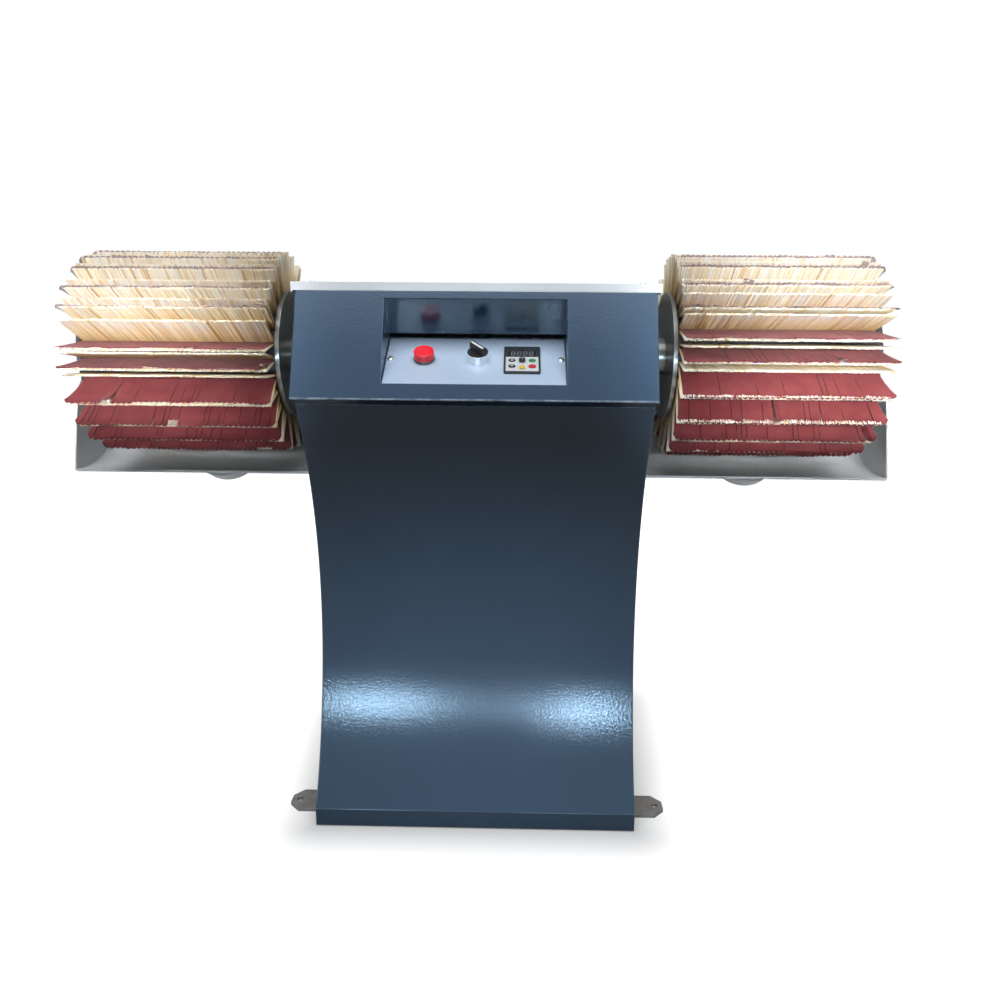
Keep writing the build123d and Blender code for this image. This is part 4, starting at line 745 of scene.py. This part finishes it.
ARROW = 0.0019
ARROW_FOOT = 0.7
ARROW_TIP = 0.9
for key, sense in (("key_up", 1), ("key_down", -1)):
    key_top, _ = panel_extent(key)
    foot = -ARROW_FOOT * ARROW * sense
    arrow = [(-ARROW, foot), (ARROW, foot), (0, ARROW_TIP * ARROW * sense)]
    panel_mark(key + "_arrow", key_top, [arrow if sense > 0 else arrow[::-1]], finishes["mark_white"], key)

knob_top, _ = panel_extent("selector_knob")
POINTER_ANGLE = radians(135)
POINTER_LENGTH = 0.0235
POINTER_WIDTH = 0.0030
POINTER_INSET = 0.0006
FIN_HALF = 0.0125
reach_out = Vector((cos(POINTER_ANGLE), sin(POINTER_ANGLE)))
reach_side = Vector((-reach_out.y, reach_out.x))
pointer_ends = (FIN_HALF - POINTER_LENGTH, FIN_HALF - POINTER_INSET)
pointer_sides = (-POINTER_WIDTH / 2, POINTER_WIDTH / 2)
pointer = [tuple(reach_out * pointer_ends[end] + reach_side * pointer_sides[edge])
           for end, edge in ((0, 0), (1, 0), (1, 1), (0, 1))]
panel_mark("selector_pointer", knob_top, [pointer], finishes["mark_white"], "selector_knob")

DIAL_LINE_HALF = 0.0004
DIAL_LINE_START = 0.0008
DIAL_LINE_INSET = 0.0005
dial_top, dial_radius = panel_extent("keypad_dial")
dial_end = dial_radius - DIAL_LINE_INSET
dial_line = [(-DIAL_LINE_HALF, DIAL_LINE_START), (DIAL_LINE_HALF, DIAL_LINE_START),
             (DIAL_LINE_HALF, dial_end), (-DIAL_LINE_HALF, dial_end)]
panel_mark("dial_line", dial_top, [dial_line], finishes["mark_white"], "keypad_dial")


# Crossed recesses in the screw heads, drawn as flat dark crosses of painted shade
CROSS_ARM = 0.0021
CROSS_HALF = 0.00045
CROSS_HEIGHT = 0.00005
TOP_DEPTH = 0.0002
HEAD_REACH = 0.02


def screw_tops(cad_node, normal):
    """Middle of the top of each screw head of a group."""
    spots = [vertex.co for vertex in nodes[cad_node].data.vertices]
    level = max(spot.dot(normal) for spot in spots)
    heads = []
    for spot in spots:
        if spot.dot(normal) > level - TOP_DEPTH:
            near = [head for head in heads if (head[0] - spot).length < HEAD_REACH]
            if not near:
                heads.append([spot])
                near = heads[-1:]
            near[0].append(spot)
    return [sum(head, Vector()) / len(head) for head in heads]


def make_crosses(name, cad_node, normal, across):
    """A flat dark cross on each screw of a group, painted shade where its crossed recess would be."""
    up = normal.cross(across)
    points = []
    faces = []
    plus = []
    for x, y in ((1, 0), (0, 1), (-1, 0), (0, -1)):
        plus += [(x * CROSS_ARM + y * CROSS_HALF, y * CROSS_ARM - x * CROSS_HALF),
                 (x * CROSS_ARM - y * CROSS_HALF, y * CROSS_ARM + x * CROSS_HALF),
                 ((x - y) * CROSS_HALF, (x + y) * CROSS_HALF)]
    for top in screw_tops(cad_node, normal):
        base = len(points)
        points += [top + across * x + up * y + normal * CROSS_HEIGHT for x, y in plus]
        faces.append(tuple(range(base, base + len(plus))))
    mesh_piece(name, points, faces, finishes["painted_recess_shade"], "column")


make_crosses("panel_screw_crosses", "control_panel_screws", panel_normal, panel_right)
make_crosses("rear_screw_crosses", "rear_panel_screws", Vector((0, 1, 0)), Vector((-1, 0, 0)))

# Floor, light and camera
FLOOR_HALF = 9.0
FLOOR_COLOUR = 0.45
FLOOR_BOUNCE = 0.05
# Glow next to the foot: the floor is darker there as a painted shadow
FLOOR_GLOW_IN_PAINTED_SHADOW = 0.22
FLOOR_GLOW_FAR = 1.0
PAINTED_FLOOR_SHADOW_REACH = 0.105
foot_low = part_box("front_skin")[0]
foot_high = Vector((-foot_low.x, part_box("base_frame")[1].y, foot_low.z))
floor_mesh = bpy.data.meshes.new("floor")
floor_corners = [(x * FLOOR_HALF, y * FLOOR_HALF, 0) for x, y in ((-1, -1), (1, -1), (1, 1), (-1, 1))]
floor_mesh.from_pydata(floor_corners, [], [(0, 1, 2, 3)])
floor = bpy.data.objects.new("floor", floor_mesh)
bpy.context.scene.collection.objects.link(floor)


def seen_directly(tree):
    """1 for rays from the camera, from gloss and through glass, 0 for others."""
    path = add_node(tree, "LightPath").outputs
    mirrored = maths(tree, "MAXIMUM", path["Is Camera Ray"], path["Is Glossy Ray"])
    return maths(tree, "MAXIMUM", mirrored, path["Is Transmission Ray"])


# The glow of the floor fades towards the foot of the column: a painted shadow there, under which the real shadow
# also shows
floor_material, floor_tree, floor_shader = new_material("floor", 0.9, specular=0.0)
from_middle = vector_maths(floor_tree, "SUBTRACT", place_of(floor_tree), (foot_low + foot_high) / 2)
from_middle = vector_maths(floor_tree, "ABSOLUTE", from_middle)
from_foot = vector_maths(floor_tree, "SUBTRACT", from_middle, (foot_high - foot_low) / 2)
distance = vector_maths(floor_tree, "LENGTH", vector_maths(floor_tree, "MAXIMUM", from_foot, (0, 0, 0)))
glow_over_painted_shadow = number_between(floor_tree, distance, FLOOR_GLOW_IN_PAINTED_SHADOW, FLOOR_GLOW_FAR, 0.0, PAINTED_FLOOR_SHADOW_REACH)
feed(floor_tree, floor_shader, emission_color=(1, 1, 1, 1),
     base_color=number_between(floor_tree, seen_directly(floor_tree), FLOOR_BOUNCE, FLOOR_COLOUR, 0.0, 1.0),
     emission_strength=maths(floor_tree, "MULTIPLY", seen_directly(floor_tree), glow_over_painted_shadow))
floor_mesh.materials.append(floor_material)

WORLD_COLOUR = (0.94, 0.97, 1.0, 1)
WORLD_LIGHT = 0.05
WORLD_SEEN = 1.06
world = bpy.data.worlds.new("studio")
bpy.context.scene.world = world
world.use_nodes = True
world_tree = world.node_tree
world_level = number_between(world_tree, seen_directly(world_tree), WORLD_LIGHT, WORLD_SEEN, 0.0, 1.0)
feed(world_tree, world_tree.nodes["Background"], color=WORLD_COLOUR, strength=world_level)


def area_light(name, place, target, size, power, colour=(1, 1, 1), diffuse=True, gloss=True, spread=180):
    """A soft rectangular lamp that faces a target; it can light gloss alone or leave gloss out."""
    lamp = bpy.data.lights.new(name, "AREA")
    lamp.shape = "RECTANGLE"
    lamp.size, lamp.size_y = size
    lamp.energy = power
    lamp.color = colour
    lamp.spread = radians(spread)
    holder = bpy.data.objects.new(name, lamp)
    bpy.context.scene.collection.objects.link(holder)
    holder.location = place
    holder.rotation_euler = (Vector(target) - Vector(place)).to_track_quat("-Z", "Y").to_euler()
    holder.visible_camera = False
    holder.visible_diffuse = diffuse
    holder.visible_glossy = gloss


CEILING_COLOUR = (0.97, 0.985, 1.0)
CARD_COLOUR = (0.62, 0.83, 1.0)
area_light("ceiling", (0.0, -1.1, 3.0), (0.0, 0.0, 0.5), (3.0, 1.6), 82.0, CEILING_COLOUR)
area_light("rear", (0.0, 2.9, 1.3), (0.0, 0.3, 0.5), (2.0, 1.0), 26.0, gloss=False)
area_light("left_fill", (-0.66, -1.15, 0.88), (-0.48, 0.0, 0.745), (0.3, 0.1), 0.70, gloss=False, spread=17)
area_light("right_fill", (0.66, -1.15, 0.88), (0.48, 0.0, 0.757), (0.3, 0.1), 0.92, gloss=False, spread=20)
area_light("skin_fill", (0.0, -2.2, 0.45), (0.0, 0.0, 0.24), (0.4, 0.2), 0.16, gloss=False, spread=20)
area_light("left_card", (-0.67, -3.0, 0.60), (-0.14, 0.0, 0.18), (0.5, 0.15), 40.0, CARD_COLOUR,
           diffuse=False)
area_light("right_card", (0.44, -3.0, 0.67), (0.18, 0.0, 0.18), (0.25, 0.2), 34.0, CARD_COLOUR,
           diffuse=False)
area_light("wide_card", (-0.12, -3.0, 0.61), (0.0, 0.0, 0.18), (1.3, 0.16), 20.0, CARD_COLOUR,
           diffuse=False)

# The camera stands where the photo was taken from
CAMERA_PLACE = Vector((0.0586, -1.1984, 0.8390))
CAMERA_YAW = radians(-1.124)
CAMERA_PITCH = radians(14.908)
CAMERA_ROLL = radians(0.409)
CAMERA_LENS = 30.07
CAMERA_SENSOR = 36.0
CAMERA_NEAR = 0.01
ahead = Vector((sin(CAMERA_YAW) * cos(CAMERA_PITCH), cos(CAMERA_YAW) * cos(CAMERA_PITCH),
                -sin(CAMERA_PITCH)))
level_right = Vector((cos(CAMERA_YAW), -sin(CAMERA_YAW), 0))
level_up = level_right.cross(ahead)
camera_right = level_right * cos(CAMERA_ROLL) + level_up * sin(CAMERA_ROLL)
camera_up = level_up * cos(CAMERA_ROLL) - level_right * sin(CAMERA_ROLL)
camera = bpy.data.objects.new("camera", bpy.data.cameras.new("camera"))
bpy.context.scene.collection.objects.link(camera)
camera.data.lens = CAMERA_LENS
camera.data.sensor_width = CAMERA_SENSOR
camera.data.clip_start = CAMERA_NEAR
camera_turn = Matrix((camera_right, camera_up, -ahead)).transposed().to_4x4()
camera.matrix_world = Matrix.Translation(CAMERA_PLACE) @ camera_turn
bpy.context.scene.camera = camera
bpy.context.scene.view_settings.view_transform = "Standard"
